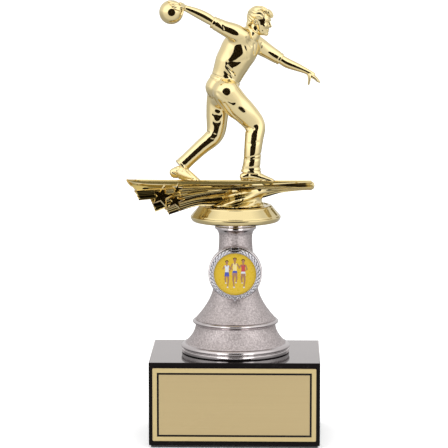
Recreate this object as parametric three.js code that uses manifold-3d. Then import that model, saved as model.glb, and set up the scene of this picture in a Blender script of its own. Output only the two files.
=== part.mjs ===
// A bowling trophy, taken apart the way it is put together on one threaded rod.
// From the bottom: felt pad, stone block with a plate on its front, a hollow riser that carries a round
// insert in a ring, a round disc with a captive nut, a fluted streamer with stars, and the bowler.
// Millimetres, +Z up. The origin is on the rod's axis at the underside of the felt pad, and the front is -Y.
import * as THREE from 'three';
import { mergeVertices } from 'three/addons/utils/BufferGeometryUtils.js';
import Module from 'manifold-3d';

const wasm = await Module();
wasm.setup();

// ---------------------------------------------------------------- driving dimensions

const seatGap = 0.3; // between faces that touch
const overshoot = 1; // how far a cutting solid runs past the face that it opens

const felt = { thickness: 1.2, inset: 1.2 };
const block = { width: 96, depth: 72, height: 47.2, edge: 0.7 };
const bore = { clearance: 0.8, wrenchRoom: 2.5, counterDepth: 13 };
const plate = { sideMargin: 2.2, topMargin: 2.9, thickness: 0.6, tape: 0.4, tapeInset: 3 };

const rod = { radius: 2.4, below: 2.4, endChamfer: 0.5 };
const nut = { acrossFlats: 9.5, thickness: 3.2, chamfer: 0.6 };
const flatWasher = { radius: 9.5, thickness: 1.2 };
const lockWasher = { radius: 5, thickness: 1.1, slot: 1 };
const threadClearance = 0.3;

// Riser: heights of its stretches from the bottom up, and the radii where they meet.
const riser = {
  foot: 5.2, cove: 10.4, lip: 3.6, bell: 18.4, neck: 28, collar: 9.1,
  footRadius: 30.9, coveRadius: 22.8, lipRadius: 24.5,
  bellTopRadius: 12.7, neckRadius: 9.4, collarRadius: 11.8,
  wall: 2.4, deck: 4, roofTaper: 3,
};
const seat = { height: 47, margin: 0.8, standOff: 1.2, back: 3, flare: 2.6, flareLength: 5, edge: 1 };
const ring = { rim: 1.4, overlap: 0.9, lip: 0.9, backEdge: 0.2, belly: 0.9, edge: 0.5, shoulder: 1.3 };
const insert = { radius: 12.7, thickness: 0.8, tape: 0.4, tapeInset: 2.7, tapeHole: 4 };

const disc = {
  height: 9.1, topRadius: 20.4, wideRadius: 25.6, wideHeight: 2.9, footRadius: 24.2, wall: 2.2, bossRadius: 8,
  footBead: 0.7, rimStep: 0.5, rimHeight: 1, topEdge: 0.8,
};
const streamer = {
  rise: 12.5, core: 1.2,
  neckRadius: 10.6, neckFlare: 12.8, neckRise: 8, flareEdge: 0.9, flareHeight: 1.2, neckLow: 3, neckHigh: 4.5,
  neckTaper: 3,
};
const star = { proud: 1, depth: 2.6, waist: 0.42, tilt: 0.3 };
const peg = { radius: 1.3, length: 3, clearance: 0.3 };
const figure = { scale: 1 };
const ball = { radius: 6.75 };
const armSocket = { clearance: 0.3 };

// ---------------------------------------------------------------- heights, worked out from the stack

const blockBase = felt.thickness + seatGap;
const blockTop = blockBase + block.height;
const riserHeight = riser.foot + riser.cove + riser.lip + riser.bell + riser.neck + riser.collar;
const riserBase = blockTop + seatGap;
const discBase = riserBase + riserHeight + seatGap;
const streamerDeck = discBase + disc.height + streamer.rise;
const soles = streamerDeck + seatGap;

// ---------------------------------------------------------------- tools for shapes

// A geometry as a manifold solid: only positions are kept, shared vertices merged, slivers dropped.
function solidOf(geometry) {
  const bare = new THREE.BufferGeometry();
  bare.setAttribute('position', geometry.getAttribute('position'));
  bare.setIndex(geometry.getIndex());
  const merged = mergeVertices(bare, 1e-4);
  const index = merged.index.array;
  const kept = [];
  for (let i = 0; i < index.length; i += 3) {
    const [a, b, c] = [index[i], index[i + 1], index[i + 2]];
    if (a !== b && b !== c && c !== a) kept.push(a, b, c);
  }
  const make = (triangles) => new wasm.Manifold(new wasm.Mesh({
    numProp: 3,
    vertProperties: merged.attributes.position.array,
    triVerts: new Uint32Array(triangles),
  }));
  const solid = make(kept);
  return solid.volume() > 0 ? solid : make(kept.reverse());
}

function geometryOf(solid) {
  const mesh = solid.getMesh();
  const geometry = new THREE.BufferGeometry();
  geometry.setAttribute('position', new THREE.BufferAttribute(new Float32Array(mesh.vertProperties), 3));
  geometry.setIndex(new THREE.BufferAttribute(new Uint32Array(mesh.triVerts), 1));
  geometry.computeVertexNormals();
  return geometry;
}

function join(solids) {
  return solids.reduce((sum, next) => sum.add(next));
}

// A profile of [radius, height] pairs turned about Z. It starts and ends on the axis, or closes on itself.
function turned(profile, segments = 30) {
  const points = profile.map(([radius, height]) => new THREE.Vector2(radius, height));
  return solidOf(new THREE.LatheGeometry(points, segments).rotateX(Math.PI / 2));
}

function rod3(radius, bottom, top, segments = 24) {
  return turned([[0, bottom], [radius, bottom], [radius, top], [0, top]], segments);
}

function washer(outer, inner, bottom, top, segments = 32) {
  return turned([[inner, bottom], [outer, bottom], [outer, top], [inner, top], [inner, bottom]], segments);
}

// A closed skin over rings that have the same number of points.
function skin(rings) {
  const count = rings[0].length;
  const positions = rings.flat().flatMap((p) => [p.x, p.y, p.z]);
  const index = [];
  for (let r = 0; r + 1 < rings.length; r++) {
    for (let i = 0; i < count; i++) {
      const [a, b] = [r * count + i, r * count + ((i + 1) % count)];
      index.push(a, b, b + count, a, b + count, a + count);
    }
  }
  for (const [first, turn] of [[0, true], [(rings.length - 1) * count, false]]) {
    const centre = new THREE.Vector3();
    rings[first / count].forEach((p) => centre.addScaledVector(p, 1 / count));
    const middle = positions.length / 3;
    positions.push(centre.x, centre.y, centre.z);
    for (let i = 0; i < count; i++) {
      const [a, b] = [first + i, first + ((i + 1) % count)];
      index.push(...(turn ? [b, a, middle] : [a, b, middle]));
    }
  }
  const geometry = new THREE.BufferGeometry();
  geometry.setAttribute('position', new THREE.Float32BufferAttribute(positions, 3));
  geometry.setIndex(index);
  return solidOf(geometry);
}

// A limb with rounded ends through stations [x, y, z, depth, breadth]: an oval section that is `breadth` to
// either side along `side` and `depth` to either side across it. `swell` adds to every radius.
const cap = { shrink: 0.55, reach: 0.75 }; // a limb's end ring: its share of the section, and its reach

function limb(stations, { side = [0, 1, 0], sides = 9, steps = 2, swell = 0 } = {}) {
  const scaled = stations.map((s) => s.map((v) => v * figure.scale));
  const path = new THREE.CatmullRomCurve3(scaled.map(([x, y, z]) => new THREE.Vector3(x, y, z)));
  const girth = new THREE.CatmullRomCurve3(scaled.map(([, , , a, b]) => new THREE.Vector3(a, b, 0)));
  const hint = new THREE.Vector3(...side);
  const count = (stations.length - 1) * steps;
  const at = (t, shrink, shift) => {
    const centre = path.getPoint(t);
    const along = path.getTangent(t);
    const across = hint.clone().addScaledVector(along, -hint.dot(along)).normalize();
    const deep = new THREE.Vector3().crossVectors(across, along).normalize();
    const { x: depth, y: breadth } = girth.getPoint(t);
    centre.addScaledVector(along, shift * (Math.min(depth, breadth) + swell));
    return Array.from({ length: sides }, (_, i) => {
      const angle = (2 * Math.PI * i) / sides;
      return centre.clone()
        .addScaledVector(deep, (depth + swell) * shrink * Math.cos(angle))
        .addScaledVector(across, (breadth + swell) * shrink * Math.sin(angle));
    });
  };
  const rings = [at(0, cap.shrink, -cap.reach)];
  for (let i = 0; i <= count; i++) rings.push(at(i / count, 1, 0));
  rings.push(at(1, cap.shrink, cap.reach));
  return skin(rings);
}

function finish(colour, roughness, metalness) {
  return new THREE.MeshStandardMaterial({ color: colour, roughness, metalness });
}

const gold = finish(0xe6c878, 0.12, 1);
const pewter = finish(0xb3a8a6, 0.38, 0.9);
const silver = finish(0xc9c6cc, 0.2, 1);
const steel = finish(0xb9bcc0, 0.3, 1);
const stone = finish(0x0c0908, 0.15, 0);
const plateGold = finish(0xc3ac7f, 0.35, 0.7);
const yellowFoil = finish(0xe2b921, 0.3, 0.1);
const foam = finish(0xe8e6e0, 0.9, 0);
const feltBlack = finish(0x14161a, 1, 0);

const trophy = new THREE.Group();

function piece(name, solid, material, group = trophy) {
  const mesh = new THREE.Mesh(geometryOf(solid), material);
  mesh.name = name;
  group.add(mesh);
  return mesh;
}

// ---------------------------------------------------------------- base

function rectangle(width, depth) {
  return new THREE.Shape([
    new THREE.Vector2(-width / 2, -depth / 2), new THREE.Vector2(width / 2, -depth / 2),
    new THREE.Vector2(width / 2, depth / 2), new THREE.Vector2(-width / 2, depth / 2),
  ]);
}

function slab(width, depth, thickness) {
  const options = { depth: thickness, bevelEnabled: false };
  return solidOf(new THREE.ExtrudeGeometry(rectangle(width, depth), options));
}

function stoneBlock() {
  const { width, depth, height, edge } = block;
  const body = solidOf(new THREE.ExtrudeGeometry(rectangle(width - 2 * edge, depth - 2 * edge), {
    depth: height - 2 * edge, bevelEnabled: true, bevelThickness: edge, bevelSize: edge, bevelSegments: 1,
  }).translate(0, 0, edge));
  return body
    .subtract(rod3(rod.radius + bore.clearance, -overshoot, height + overshoot))
    .subtract(rod3(flatWasher.radius + bore.wrenchRoom, -overshoot, bore.counterDepth, 32));
}

function base() {
  const group = new THREE.Group();
  const feltSheet = slab(block.width - 2 * felt.inset, block.depth - 2 * felt.inset, felt.thickness);
  piece('felt_pad', feltSheet, feltBlack, group);
  piece('stone_block', stoneBlock(), stone, group).position.z = blockBase;

  const plateWidth = block.width - 2 * plate.sideMargin;
  const plateHeight = block.height - 2 * plate.topMargin;
  const onFront = (mesh, behind) => {
    mesh.rotation.x = Math.PI / 2;
    mesh.position.set(0, -block.depth / 2 - behind, blockBase + block.height / 2);
  };
  const tape = slab(plateWidth - 2 * plate.tapeInset, plateHeight - 2 * plate.tapeInset, plate.tape);
  onFront(piece('plate_tape', tape, foam, group), seatGap);
  const face = slab(plateWidth, plateHeight, plate.thickness);
  onFront(piece('engraving_plate', face, plateGold, group), 2 * seatGap + plate.tape);
  return group;
}

// ---------------------------------------------------------------- rod, nuts and washers

function hexNut(hole) {
  const corner = nut.acrossFlats / 2 / Math.cos(Math.PI / 6);
  const prism = rod3(corner, 0, nut.thickness, 6);
  const chamfered = turned([
    [0, 0], [corner - nut.chamfer, 0], [corner, nut.chamfer / 2], [corner, nut.thickness - nut.chamfer / 2],
    [corner - nut.chamfer, nut.thickness], [0, nut.thickness],
  ], 24);
  return prism.intersect(chamfered).subtract(rod3(hole, -overshoot, nut.thickness + overshoot, 16));
}

const hole = rod.radius + threadClearance;
const washerBase = blockBase + bore.counterDepth - seatGap - flatWasher.thickness;
const lockBase = washerBase - seatGap - lockWasher.thickness;
const clampNutBase = lockBase - seatGap - nut.thickness;
const rodBase = clampNutBase - rod.below;
const captiveNutBase = discBase + disc.height - seatGap - nut.thickness;
const rodTop = captiveNutBase + nut.thickness;

function splitWasher() {
  const slot = solidOf(new THREE.BoxGeometry(lockWasher.radius, lockWasher.slot, 3 * lockWasher.thickness))
    .translate([lockWasher.radius, 0, 0]);
  return washer(lockWasher.radius, hole, 0, lockWasher.thickness, 24).subtract(slot);
}

function clampStack() {
  const group = new THREE.Group();
  piece('flat_washer', washer(flatWasher.radius, hole, 0, flatWasher.thickness), steel, group)
    .position.z = washerBase;
  piece('lock_washer', splitWasher(), steel, group).position.z = lockBase;
  piece('clamp_nut', hexNut(hole), steel, group).position.z = clampNutBase;
  return group;
}

function threadedRod() {
  const { radius, endChamfer } = rod;
  return turned([
    [0, rodBase], [radius - endChamfer, rodBase], [radius, rodBase + endChamfer],
    [radius, rodTop - endChamfer], [radius - endChamfer, rodTop], [0, rodTop],
  ], 16);
}

// ---------------------------------------------------------------- riser with its insert

// Outer outline of the riser, bottom to top: a stepped foot, a cove, a lip, a bell and a neck with a collar.
const lipZ = riser.foot + riser.cove;
const bellZ = lipZ + riser.lip;
const neckZ = bellZ + riser.bell;
const collarZ = neckZ + riser.neck;
const bellFall = 1.7; // how fast the bell draws in: 1 is a cone
const coveFall = 1.9;
const neckFall = 1.6;
const bellInset = 0.3; // the bell starts this far inside the lip

// Short mouldings as [inset from their own radius, height above their own foot].
const footMoulding = [[0.5, 0], [0, 0.5], [0, 2], [0.5, 2.4], [0.3, 3], [1.2, 4.6]];
const lipMoulding = [[0.5, 1], [0, 2]];
const collarMoulding = [[2, 3.2], [0.5, 4.6], [0, 5.4]];
const coveInset = 2.2; // the cove starts this far inside the foot

function bellRadius(share) {
  return THREE.MathUtils.lerp(riser.bellTopRadius, riser.lipRadius - bellInset, (1 - share) ** bellFall);
}

function riserOutline() {
  const { footRadius, coveRadius, lipRadius, bellTopRadius, neckRadius, collarRadius } = riser;
  const shares = [0, 0.25, 0.5, 0.75, 1];
  const moulding = (steps, radius, bottom) => steps.map(([inset, rise]) => [radius - inset, bottom + rise]);
  const sweep = (from, to, bottom, height, power) => shares.map((t) => [
    THREE.MathUtils.lerp(to, from, (1 - t) ** power),
    bottom + t * height,
  ]);
  return [
    ...moulding(footMoulding, footRadius, 0),
    ...sweep(footRadius - coveInset, coveRadius, riser.foot, riser.cove, coveFall),
    ...moulding(lipMoulding, lipRadius, lipZ),
    ...shares.map((t) => [bellRadius(t), bellZ + t * riser.bell]),
    ...sweep(bellTopRadius, neckRadius, neckZ, riser.neck, neckFall).slice(1),
    ...moulding(collarMoulding, collarRadius, collarZ),
    [collarRadius, riserHeight],
  ];
}

// The seat for the insert: a short round boss that stands out of the neck towards the front, far enough for
// the ring's lower edge to clear the bell.
const ringRadius = insert.radius + seatGap + ring.rim;
const seatFace = bellRadius((seat.height - ringRadius - bellZ) / riser.bell) + seat.standOff;

function insertSeat() {
  const radius = ringRadius + seat.margin;
  return turned([
    [0, seat.back], [radius - seat.flare, seat.back], [radius, seat.back + seat.flareLength],
    [radius, seatFace - seat.edge], [radius - seat.edge, seatFace], [0, seatFace],
  ]).rotate([90, 0, 0]).translate([0, 0, seat.height]);
}

// Turns a solid made about Z so that its axis runs along Y, towards the front, at the seat's height.
function facingFront(mesh, distance) {
  mesh.rotation.x = Math.PI / 2;
  mesh.position.set(0, -distance, seat.height);
  return mesh;
}

function riserShell() {
  const outline = riserOutline();
  const outside = turned([[0, 0], ...outline, [0, riserHeight]]);
  const roof = riserHeight - riser.deck;
  const inside = outline.filter(([, z]) => z > riser.foot && z < roof - riser.roofTaper);
  const hollow = turned([
    [0, -overshoot], [riser.footRadius - coveInset - riser.wall, -overshoot],
    ...inside.map(([r, z]) => [r - riser.wall, z]),
    [riser.neckRadius - riser.wall, roof], [0, roof],
  ]);
  const way = rod3(hole + threadClearance, roof - overshoot, riserHeight + overshoot, 16);
  return outside.add(insertSeat()).subtract(hollow).subtract(way);
}

function riserGroup() {
  const group = new THREE.Group();
  piece('riser_shell', riserShell(), pewter, group);

  const back = seatFace + seatGap;
  const tape = washer(insert.radius - insert.tapeInset, insert.tapeHole, 0, insert.tape, 24);
  facingFront(piece('insert_tape', tape, foam, group), back);
  const discBack = back + insert.tape + seatGap;
  const foil = rod3(insert.radius, 0, insert.thickness, 36);
  facingFront(piece('insert_disc', foil, yellowFoil, group), discBack);

  const rebate = ringRadius - ring.rim;
  const window = insert.radius - ring.overlap;
  const lipBack = insert.tape + insert.thickness + 2 * seatGap;
  const front = lipBack + ring.lip;
  const bezel = turned([
    [rebate, 0], [ringRadius - ring.backEdge, 0], [ringRadius, ring.belly],
    [ringRadius - ring.edge, front - ring.edge], [ringRadius - ring.shoulder, front],
    [window + ring.edge, front], [window, front - ring.edge],
    [window, lipBack], [rebate, lipBack], [rebate, 0],
  ], 40);
  facingFront(piece('insert_ring', bezel, silver, group), back);
  group.position.z = riserBase;
  return group;
}

// ---------------------------------------------------------------- disc under the streamer

// A cup, hollow below, with a boss down its middle. The boss ends in a hexagon pocket, open at the top, where
// the captive nut lies under the streamer's neck.
function topperDisc() {
  const { height, topRadius, wideRadius, wideHeight, footRadius, wall, bossRadius } = disc;
  const { footBead, rimStep, rimHeight, topEdge } = disc;
  const cup = turned([
    [0, 0], [footRadius, 0], [footRadius + footBead, footBead], [wideRadius, wideHeight],
    [wideRadius - rimStep, wideHeight + rimHeight], [topRadius, height - topEdge],
    [topRadius - topEdge, height], [0, height],
  ], 36);
  const hollow = turned([
    [bossRadius, -overshoot], [footRadius - wall, -overshoot], [footRadius - wall, footBead],
    [wideRadius - wall - rimStep, wideHeight], [topRadius - wall, height - wall], [bossRadius, height - wall],
    [bossRadius, -overshoot],
  ]);
  const corner = nut.acrossFlats / 2 / Math.cos(Math.PI / 6) + seatGap;
  const pocketFloor = captiveNutBase - discBase - seatGap;
  const pocket = rod3(corner, pocketFloor, height + overshoot, 6);
  const way = rod3(hole + threadClearance, -overshoot, pocketFloor + overshoot, 16);
  return cup.subtract(hollow).subtract(pocket).subtract(way);
}

// ---------------------------------------------------------------- streamer

// The edges between the flutes, from the ragged left end to the tip on the right, as [x, out, z] points:
// `out` is the distance to the front or the back, and z is measured down from the deck.
const fluteEdges = [
  [[-62, 2, 1.2], [-54, 8.6, 0.4], [-40, 11, 0], [0, 11, 0], [24, 7.2, 0.3], [43.6, 2.2, 1.1]],
  [[-55.3, 14, -2.8], [-31, 13.4, -1.3], [0, 12, -0.4], [24, 7.8, -0.1], [43.8, 2.8, 0.6]],
  [[-54.1, 13.4, -8.1], [-29.9, 12.8, -5.7], [-6.9, 11.4, -2.3], [15, 9, -1.4], [42.6, 2.8, -0.9]],
  [[-45.1, 11, -14.9], [-25.5, 10, -8], [-5.8, 9, -4.7], [15, 7.4, -3], [41.6, 2.4, -2.3]],
  [
    [-37.3, 8, -16.8], [-23.7, 7, -12.4], [-3.1, 5.6, -10.6], [15, 4, -8.6], [25.2, 3, -5.8], [40.6, 1.6, -3.4],
  ],
];
const fluteEnds = [
  { top: -62, bottom: -55.3, hollow: 0 },
  { top: -56.8, bottom: -54.1, hollow: 0.8 },
  { top: -47.7, bottom: -45.1, hollow: 0.8 },
  { top: -39.9, bottom: -37.3, hollow: 0.8 },
];
const fluteLap = 0.4; // how far a flute runs in behind the one below it

// A point on an edge at a given x. The edges run from low x to high x.
function pointAt(curve, x) {
  let [low, high] = [0, 1];
  for (let i = 0; i < 24; i++) {
    const middle = (low + high) / 2;
    if (curve.getPoint(middle).x < x) low = middle;
    else high = middle;
  }
  return curve.getPoint(low);
}

function fluteRibbon(number, front, stations = 9) {
  const [upperEdge, lowerEdge] = [fluteEdges[number], fluteEdges[number + 1]].map(
    (edge) => new THREE.CatmullRomCurve3(edge.map(([x, out, z]) => new THREE.Vector3(x, -front * out, z))),
  );
  const { top, bottom, hollow } = fluteEnds[number];
  const lap = number < fluteEnds.length - 1 ? fluteLap : 0;
  const at = (curve, left, share) => pointAt(curve, THREE.MathUtils.lerp(left, curve.getPoint(1).x, share));
  const rings = [];
  for (let i = 0; i < stations; i++) {
    const share = i / (stations - 1);
    const upper = at(upperEdge, top, share);
    const lower = at(lowerEdge, bottom, share);
    const middle = upper.clone().lerp(lower, 0.5);
    middle.y += front * hollow * (1 - share ** 3);
    const core = front * streamer.core;
    rings.push([
      upper, middle,
      new THREE.Vector3(lower.x, lower.y + front * lap, lower.z - lap),
      new THREE.Vector3(lower.x, core, lower.z - 2 * lap),
      new THREE.Vector3(upper.x, core, upper.z),
    ]);
  }
  return skin(rings);
}

function starSolid(size, lean) {
  const tips = Array.from({ length: 10 }, (_, i) => {
    const radius = i % 2 ? size * star.waist : size;
    const angle = Math.PI / 2 + (i * Math.PI) / 5 - lean;
    return new THREE.Vector2(radius * Math.cos(angle), radius * Math.sin(angle));
  });
  return new THREE.ExtrudeGeometry(new THREE.Shape(tips), { depth: star.depth, bevelEnabled: false });
}

// Stars stand proud of the flutes at the ragged end: middle [x, out, z], size and lean.
const stars = [
  { at: [-41.5, 12.9, -6.4], size: 6.3, lean: 0.25 },
  { at: [-33.6, 11.6, -8.9], size: 5, lean: 0.12 },
  { at: [-32.6, 13.2, -3.2], size: 3, lean: 0.1 },
];

function placedStar({ at: [x, out, z], size, lean }, front) {
  const geometry = starSolid(size, front * lean);
  geometry.translate(0, 0, star.proud - star.depth);
  geometry.rotateX(Math.PI / 2 + star.tilt);
  if (front < 0) geometry.rotateZ(Math.PI);
  return solidOf(geometry.translate(x, -front * out, z));
}

function streamerSolid(pegHoles) {
  const parts = [];
  for (const front of [1, -1]) {
    fluteEnds.forEach((_, number) => parts.push(fluteRibbon(number, front)));
    stars.forEach((one) => parts.push(placedStar(one, front)));
  }
  const { neckFlare, neckRadius, neckRise, flareEdge, flareHeight, neckLow, neckHigh, neckTaper } = streamer;
  const neckBottom = seatGap - streamer.rise;
  parts.push(turned([
    [0, neckBottom], [neckFlare, neckBottom], [neckFlare - flareEdge, neckBottom + flareHeight],
    [neckRadius, neckBottom + neckLow], [neckRadius, neckBottom + neckHigh],
    [neckRadius - neckTaper, neckBottom + neckRise], [0, neckBottom + neckRise],
  ]));
  return pegHoles.reduce((solid, one) => solid.subtract(one), join(parts));
}

// ---------------------------------------------------------------- the bowler

// Stations are [x, y, z, depth, breadth] from the rod's axis at the level of the soles.
// The bowler walks to +X, ball arm back on the near side, with the right leg in front.
const chestSide = [0.48, 0.82, -0.31];
const hipSide = [-0.25, 0.95, -0.1];
const torsoLine = [
  [-8.2, 0, 46.5, 5.4, 6.4], [-7.8, 0, 51.4, 9.8, 8.8], [-5.4, 0, 58.4, 7.9, 7.6], [-2.2, 0, 66.2, 9.2, 9.2],
  [2.2, 0, 74.2, 10.4, 10.8], [5.6, 0, 80, 7.8, 10.4], [8, 0, 83.4, 4.4, 5.2],
];
const nearLeg = [
  [-5.2, -4.6, 50.2, 7.6, 6.8], [-0.6, -5.4, 44.4, 7.6, 6.8], [5.4, -6, 38.8, 6.7, 6.2],
  [10.8, -6.2, 31.8, 5.9, 5.6], [10.4, -6, 25, 5.3, 5], [9.9, -5.8, 18, 4.9, 4.7], [9.4, -5.4, 9, 5, 4.6],
];
const farLeg = [
  [-9, 4.6, 49, 7.2, 6.6], [-10, 5, 43, 6.7, 6.4], [-10.6, 5, 36, 6.2, 6], [-11.8, 4.6, 25.6, 5.2, 5.2],
  [-19.2, 3.4, 18.8, 4.4, 4.4], [-26.2, 2.2, 12.4, 4.1, 4.1], [-29.8, 1.4, 9.2, 4.2, 4.2],
];
const nearFoot = [
  [5, -5.2, 3, 2.4, 2.4], [9, -5.9, 3.6, 3.2, 2.6], [15.5, -7, 2.5, 2.2, 2.7], [20.4, -7.6, 1.4, 1.1, 2],
];
const farFoot = [
  [-35, 1.8, 5.6, 3.2, 2.4], [-31, 0.6, 4.7, 3.6, 2.6], [-26, -2.4, 3, 2.6, 2.7], [-21.6, -4.4, 1.4, 1.1, 2],
];
const nearSleeve = [
  [3.4, -7, 82, 5, 5], [-1, -9, 84.6, 5, 4.8], [-6.4, -9.8, 87, 4.1, 4], [-11.4, -10, 89.6, 3.2, 3.2],
];
const farSleeve = [
  [9, 6.4, 78.6, 5, 5], [13.4, 9, 75.4, 4.8, 4.6], [18.6, 10.4, 72, 4.1, 4], [23.8, 11, 68.8, 3.3, 3.3],
];
const neckLine = [[8.4, 0, 81.8, 3.6, 3.8], [12.2, 0.5, 88.4, 3.5, 3.6]];
const headLine = [
  [15.4, 0.4, 85.2, 3.2, 3.2], [14.5, 0.4, 89.6, 6.3, 5], [13.6, 0.4, 93.8, 7.1, 5.5],
  [13.6, 0.4, 96, 5.2, 4.8],
];

const nearArm = [
  [-9.4, -10, 88.6, 2.4, 2.4], [-12, -10, 90, 2.5, 2.5], [-16.4, -10, 92.8, 2.9, 2.8],
  [-22.5, -10.5, 95.8, 2.5, 2.4], [-28.2, -11.8, 98.2, 1.7, 1.6], [-31, -13.4, 99.6, 2, 1.6],
];
const nearHand = [
  [-29.4, -13, 99.4, 1.7, 1.6], [-32.4, -16, 101.2, 1.5, 2.4], [-35.6, -17.6, 101.8, 1.2, 2.4],
];
const ballAt = [-35.7, -13, 97];
const farArm = [
  [22, 11, 70, 2.4, 2.4], [25, 11, 68.2, 2.6, 2.6], [28.9, 11.5, 65.7, 2.8, 2.7],
  [34.6, 11.5, 63.4, 2.3, 2.2], [40.3, 11.5, 60.9, 1.6, 1.5], [43.4, 11.5, 58.8, 1.8, 1.3],
];
const farFingers = [
  [[42.6, 11.9, 59.2, 1.1, 1], [45.2, 12.2, 57.3, 0.85, 0.8], [47.2, 12.3, 55, 0.65, 0.65]],
  [[42.8, 10.4, 58.4, 1.1, 1], [45, 10, 57, 0.8, 0.8], [46.2, 9.8, 55.6, 0.65, 0.65]],
  [[41.4, 10.2, 59, 1, 0.9], [41.6, 9.4, 56.6, 0.8, 0.8], [41.2, 9.2, 54, 0.6, 0.6]],
];
const pegSpots = [[9, -5.6, 2.4], [-25, -2.4, 2.4]];

function pegs(swell, extra) {
  return pegSpots.map(([x, y, z]) => rod3(
    peg.radius + swell, -peg.length - extra - (soles - streamerDeck), z * figure.scale, 12,
  ).translate([x * figure.scale, y * figure.scale, 0]));
}

function socket(arm) {
  return limb(arm.slice(0, 3), { sides: 8, steps: 1, swell: armSocket.clearance });
}

function bowler() {
  const body = join([
    limb(torsoLine.slice(0, 4), { side: hipSide, sides: 12 }),
    limb(torsoLine.slice(2), { side: chestSide, sides: 12 }),
    limb(nearLeg), limb(farLeg), limb(nearFoot), limb(farFoot),
    limb(nearSleeve), limb(farSleeve), limb(neckLine), limb(headLine, { sides: 12 }),
  ]);
  // The soles are cut flat, then the pegs go on below them.
  const ground = { width: 200, depth: 100, height: 20 };
  const below = solidOf(new THREE.BoxGeometry(ground.width, ground.depth, ground.height))
    .translate([0, 0, -ground.height / 2]);
  return join([body.subtract(below), ...pegs(0, 0)]).subtract(socket(nearArm)).subtract(socket(farArm));
}

function sphere(radius, [x, y, z], segments = 20) {
  return solidOf(new THREE.SphereGeometry(radius * figure.scale, segments, Math.round(segments * 0.6)))
    .translate([x * figure.scale, y * figure.scale, z * figure.scale]);
}

function topperGroup() {
  const group = new THREE.Group();
  piece('topper_disc', topperDisc(), gold, group).position.z = discBase;
  piece('captive_nut', hexNut(hole), steel, group).position.z = captiveNutBase;
  const holes = pegs(peg.clearance, peg.clearance).map((one) => one.translate([0, 0, soles - streamerDeck]));
  piece('star_streamer', streamerSolid(holes), gold, group).position.z = streamerDeck;

  const person = new THREE.Group();
  piece('bowler_body', bowler(), gold, person);
  const clear = sphere(ball.radius + seatGap, ballAt);
  const ballArm = join([limb(nearArm, { sides: 8 }), limb(nearHand, { sides: 8 })]).subtract(clear);
  piece('ball_arm', ballArm, gold, person);
  piece('bowling_ball', sphere(ball.radius, ballAt), gold, person);
  const guideArm = join([limb(farArm, { sides: 8 }), ...farFingers.map((one) => limb(one, { sides: 6 }))]);
  piece('guide_arm', guideArm, gold, person);
  person.position.z = soles;
  group.add(person);
  return group;
}

trophy.add(base(), clampStack(), riserGroup(), topperGroup());
piece('threaded_rod', threadedRod(), steel);

export default trophy;
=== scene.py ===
import math

import bmesh
import bpy
import numpy as np
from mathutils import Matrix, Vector
from mathutils.kdtree import KDTree


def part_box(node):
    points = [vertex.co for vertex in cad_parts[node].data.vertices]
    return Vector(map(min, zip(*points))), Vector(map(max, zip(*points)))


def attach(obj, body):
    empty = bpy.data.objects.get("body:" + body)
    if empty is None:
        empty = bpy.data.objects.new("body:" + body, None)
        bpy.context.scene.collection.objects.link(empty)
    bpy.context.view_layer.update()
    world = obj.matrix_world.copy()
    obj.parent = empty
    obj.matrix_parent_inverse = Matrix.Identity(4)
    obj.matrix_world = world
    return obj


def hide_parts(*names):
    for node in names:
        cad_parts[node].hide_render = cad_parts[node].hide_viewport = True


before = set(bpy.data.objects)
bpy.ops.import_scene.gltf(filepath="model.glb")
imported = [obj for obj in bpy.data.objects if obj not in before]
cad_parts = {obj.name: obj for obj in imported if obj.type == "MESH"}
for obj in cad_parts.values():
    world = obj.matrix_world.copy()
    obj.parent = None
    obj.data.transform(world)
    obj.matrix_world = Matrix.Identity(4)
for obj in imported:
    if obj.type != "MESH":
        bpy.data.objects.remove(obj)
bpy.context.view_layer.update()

# Everything below is worked out in millimetres and made in metres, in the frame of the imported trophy.
mm = 0.001


def boxOf(node):
    low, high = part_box(node)
    return np.array(low) / mm, np.array(high) / mm


# camera, floor and light
studio = {
    "cameraAt": (28, -1500, 331), "cameraTarget": (-6.6, 0, 122.1),
    "lens": 214.3, "sensor": 36, "nearest": 0.05, "farthest": 60,
    "floorWidth": 12.0, "tent": 1.5,
    # brightness by the angle to the lens (1 is straight at it, -1 straight behind) and by height
    "tentAcross": [(-1.0, 0.55), (-0.6, 0.55), (-0.1, 0.62), (0.25, 0.95), (0.55, 1.0), (1.0, 1.0)],
    "tentUpwards": [(-1.0, 0.50), (-0.35, 0.56), (-0.02, 0.72), (0.12, 0.95), (0.6, 1.0), (1.0, 0.85)],
    # a dark card in front of the figure, which only reflections see
    "cardDistance": 0.35, "cardRadius": 0.246, "cardAim": (0, 0, 0.205),
    "cardSides": 64, "darkCard": ((0.012, 0.008, 0.004, 1), (0.016, 0.011, 0.006, 1)),
    # a small olive one behind the deck
    "deckCard": [(-78, 70, 147), (72, 70, 147), (72, 70, 168), (-78, 70, 168)],
    "oliveCard": ((0.17, 0.14, 0.055, 1), (0.20, 0.165, 0.065, 1)),
    # lights: where, what they are aimed at, width and height, power
    "softboxes": {
        "leftSoftbox": ((-1.3, -1.2, 1.2), (0, 0, 0.12), (1.0, 1.0), 3),
        "rightSoftbox": ((1.4, -1.0, 1.1), (0, 0, 0.12), (1.0, 1.0), 2),
        "topSoftbox": ((0, 0.3, 1.9), (0, 0, 0.12), (1.2, 1.2), 4),
    },
    # panels that only one piece sees, with their colour
    "panels": {
        "stonePanel": ((0, 0.5, 0.15), (0, 0, 0.05), (0.8, 0.34), 0.56, "stoneBlock", (1, 0.9, 0.88)),
        "riserPanelLeft": ((-0.144, -0.3, 0.13), (0, 0, 0.09), (0.13, 0.3), 0.24, "riserShell", (1, 1, 1)),
        "riserPanelRight": ((0.156, -0.3, 0.13), (0, 0, 0.09), (0.13, 0.3), 0.24, "riserShell", (1, 1, 1)),
    },
}
cameraAt, cameraTarget = (Vector(studio[key]) * mm for key in ("cameraAt", "cameraTarget"))


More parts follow.
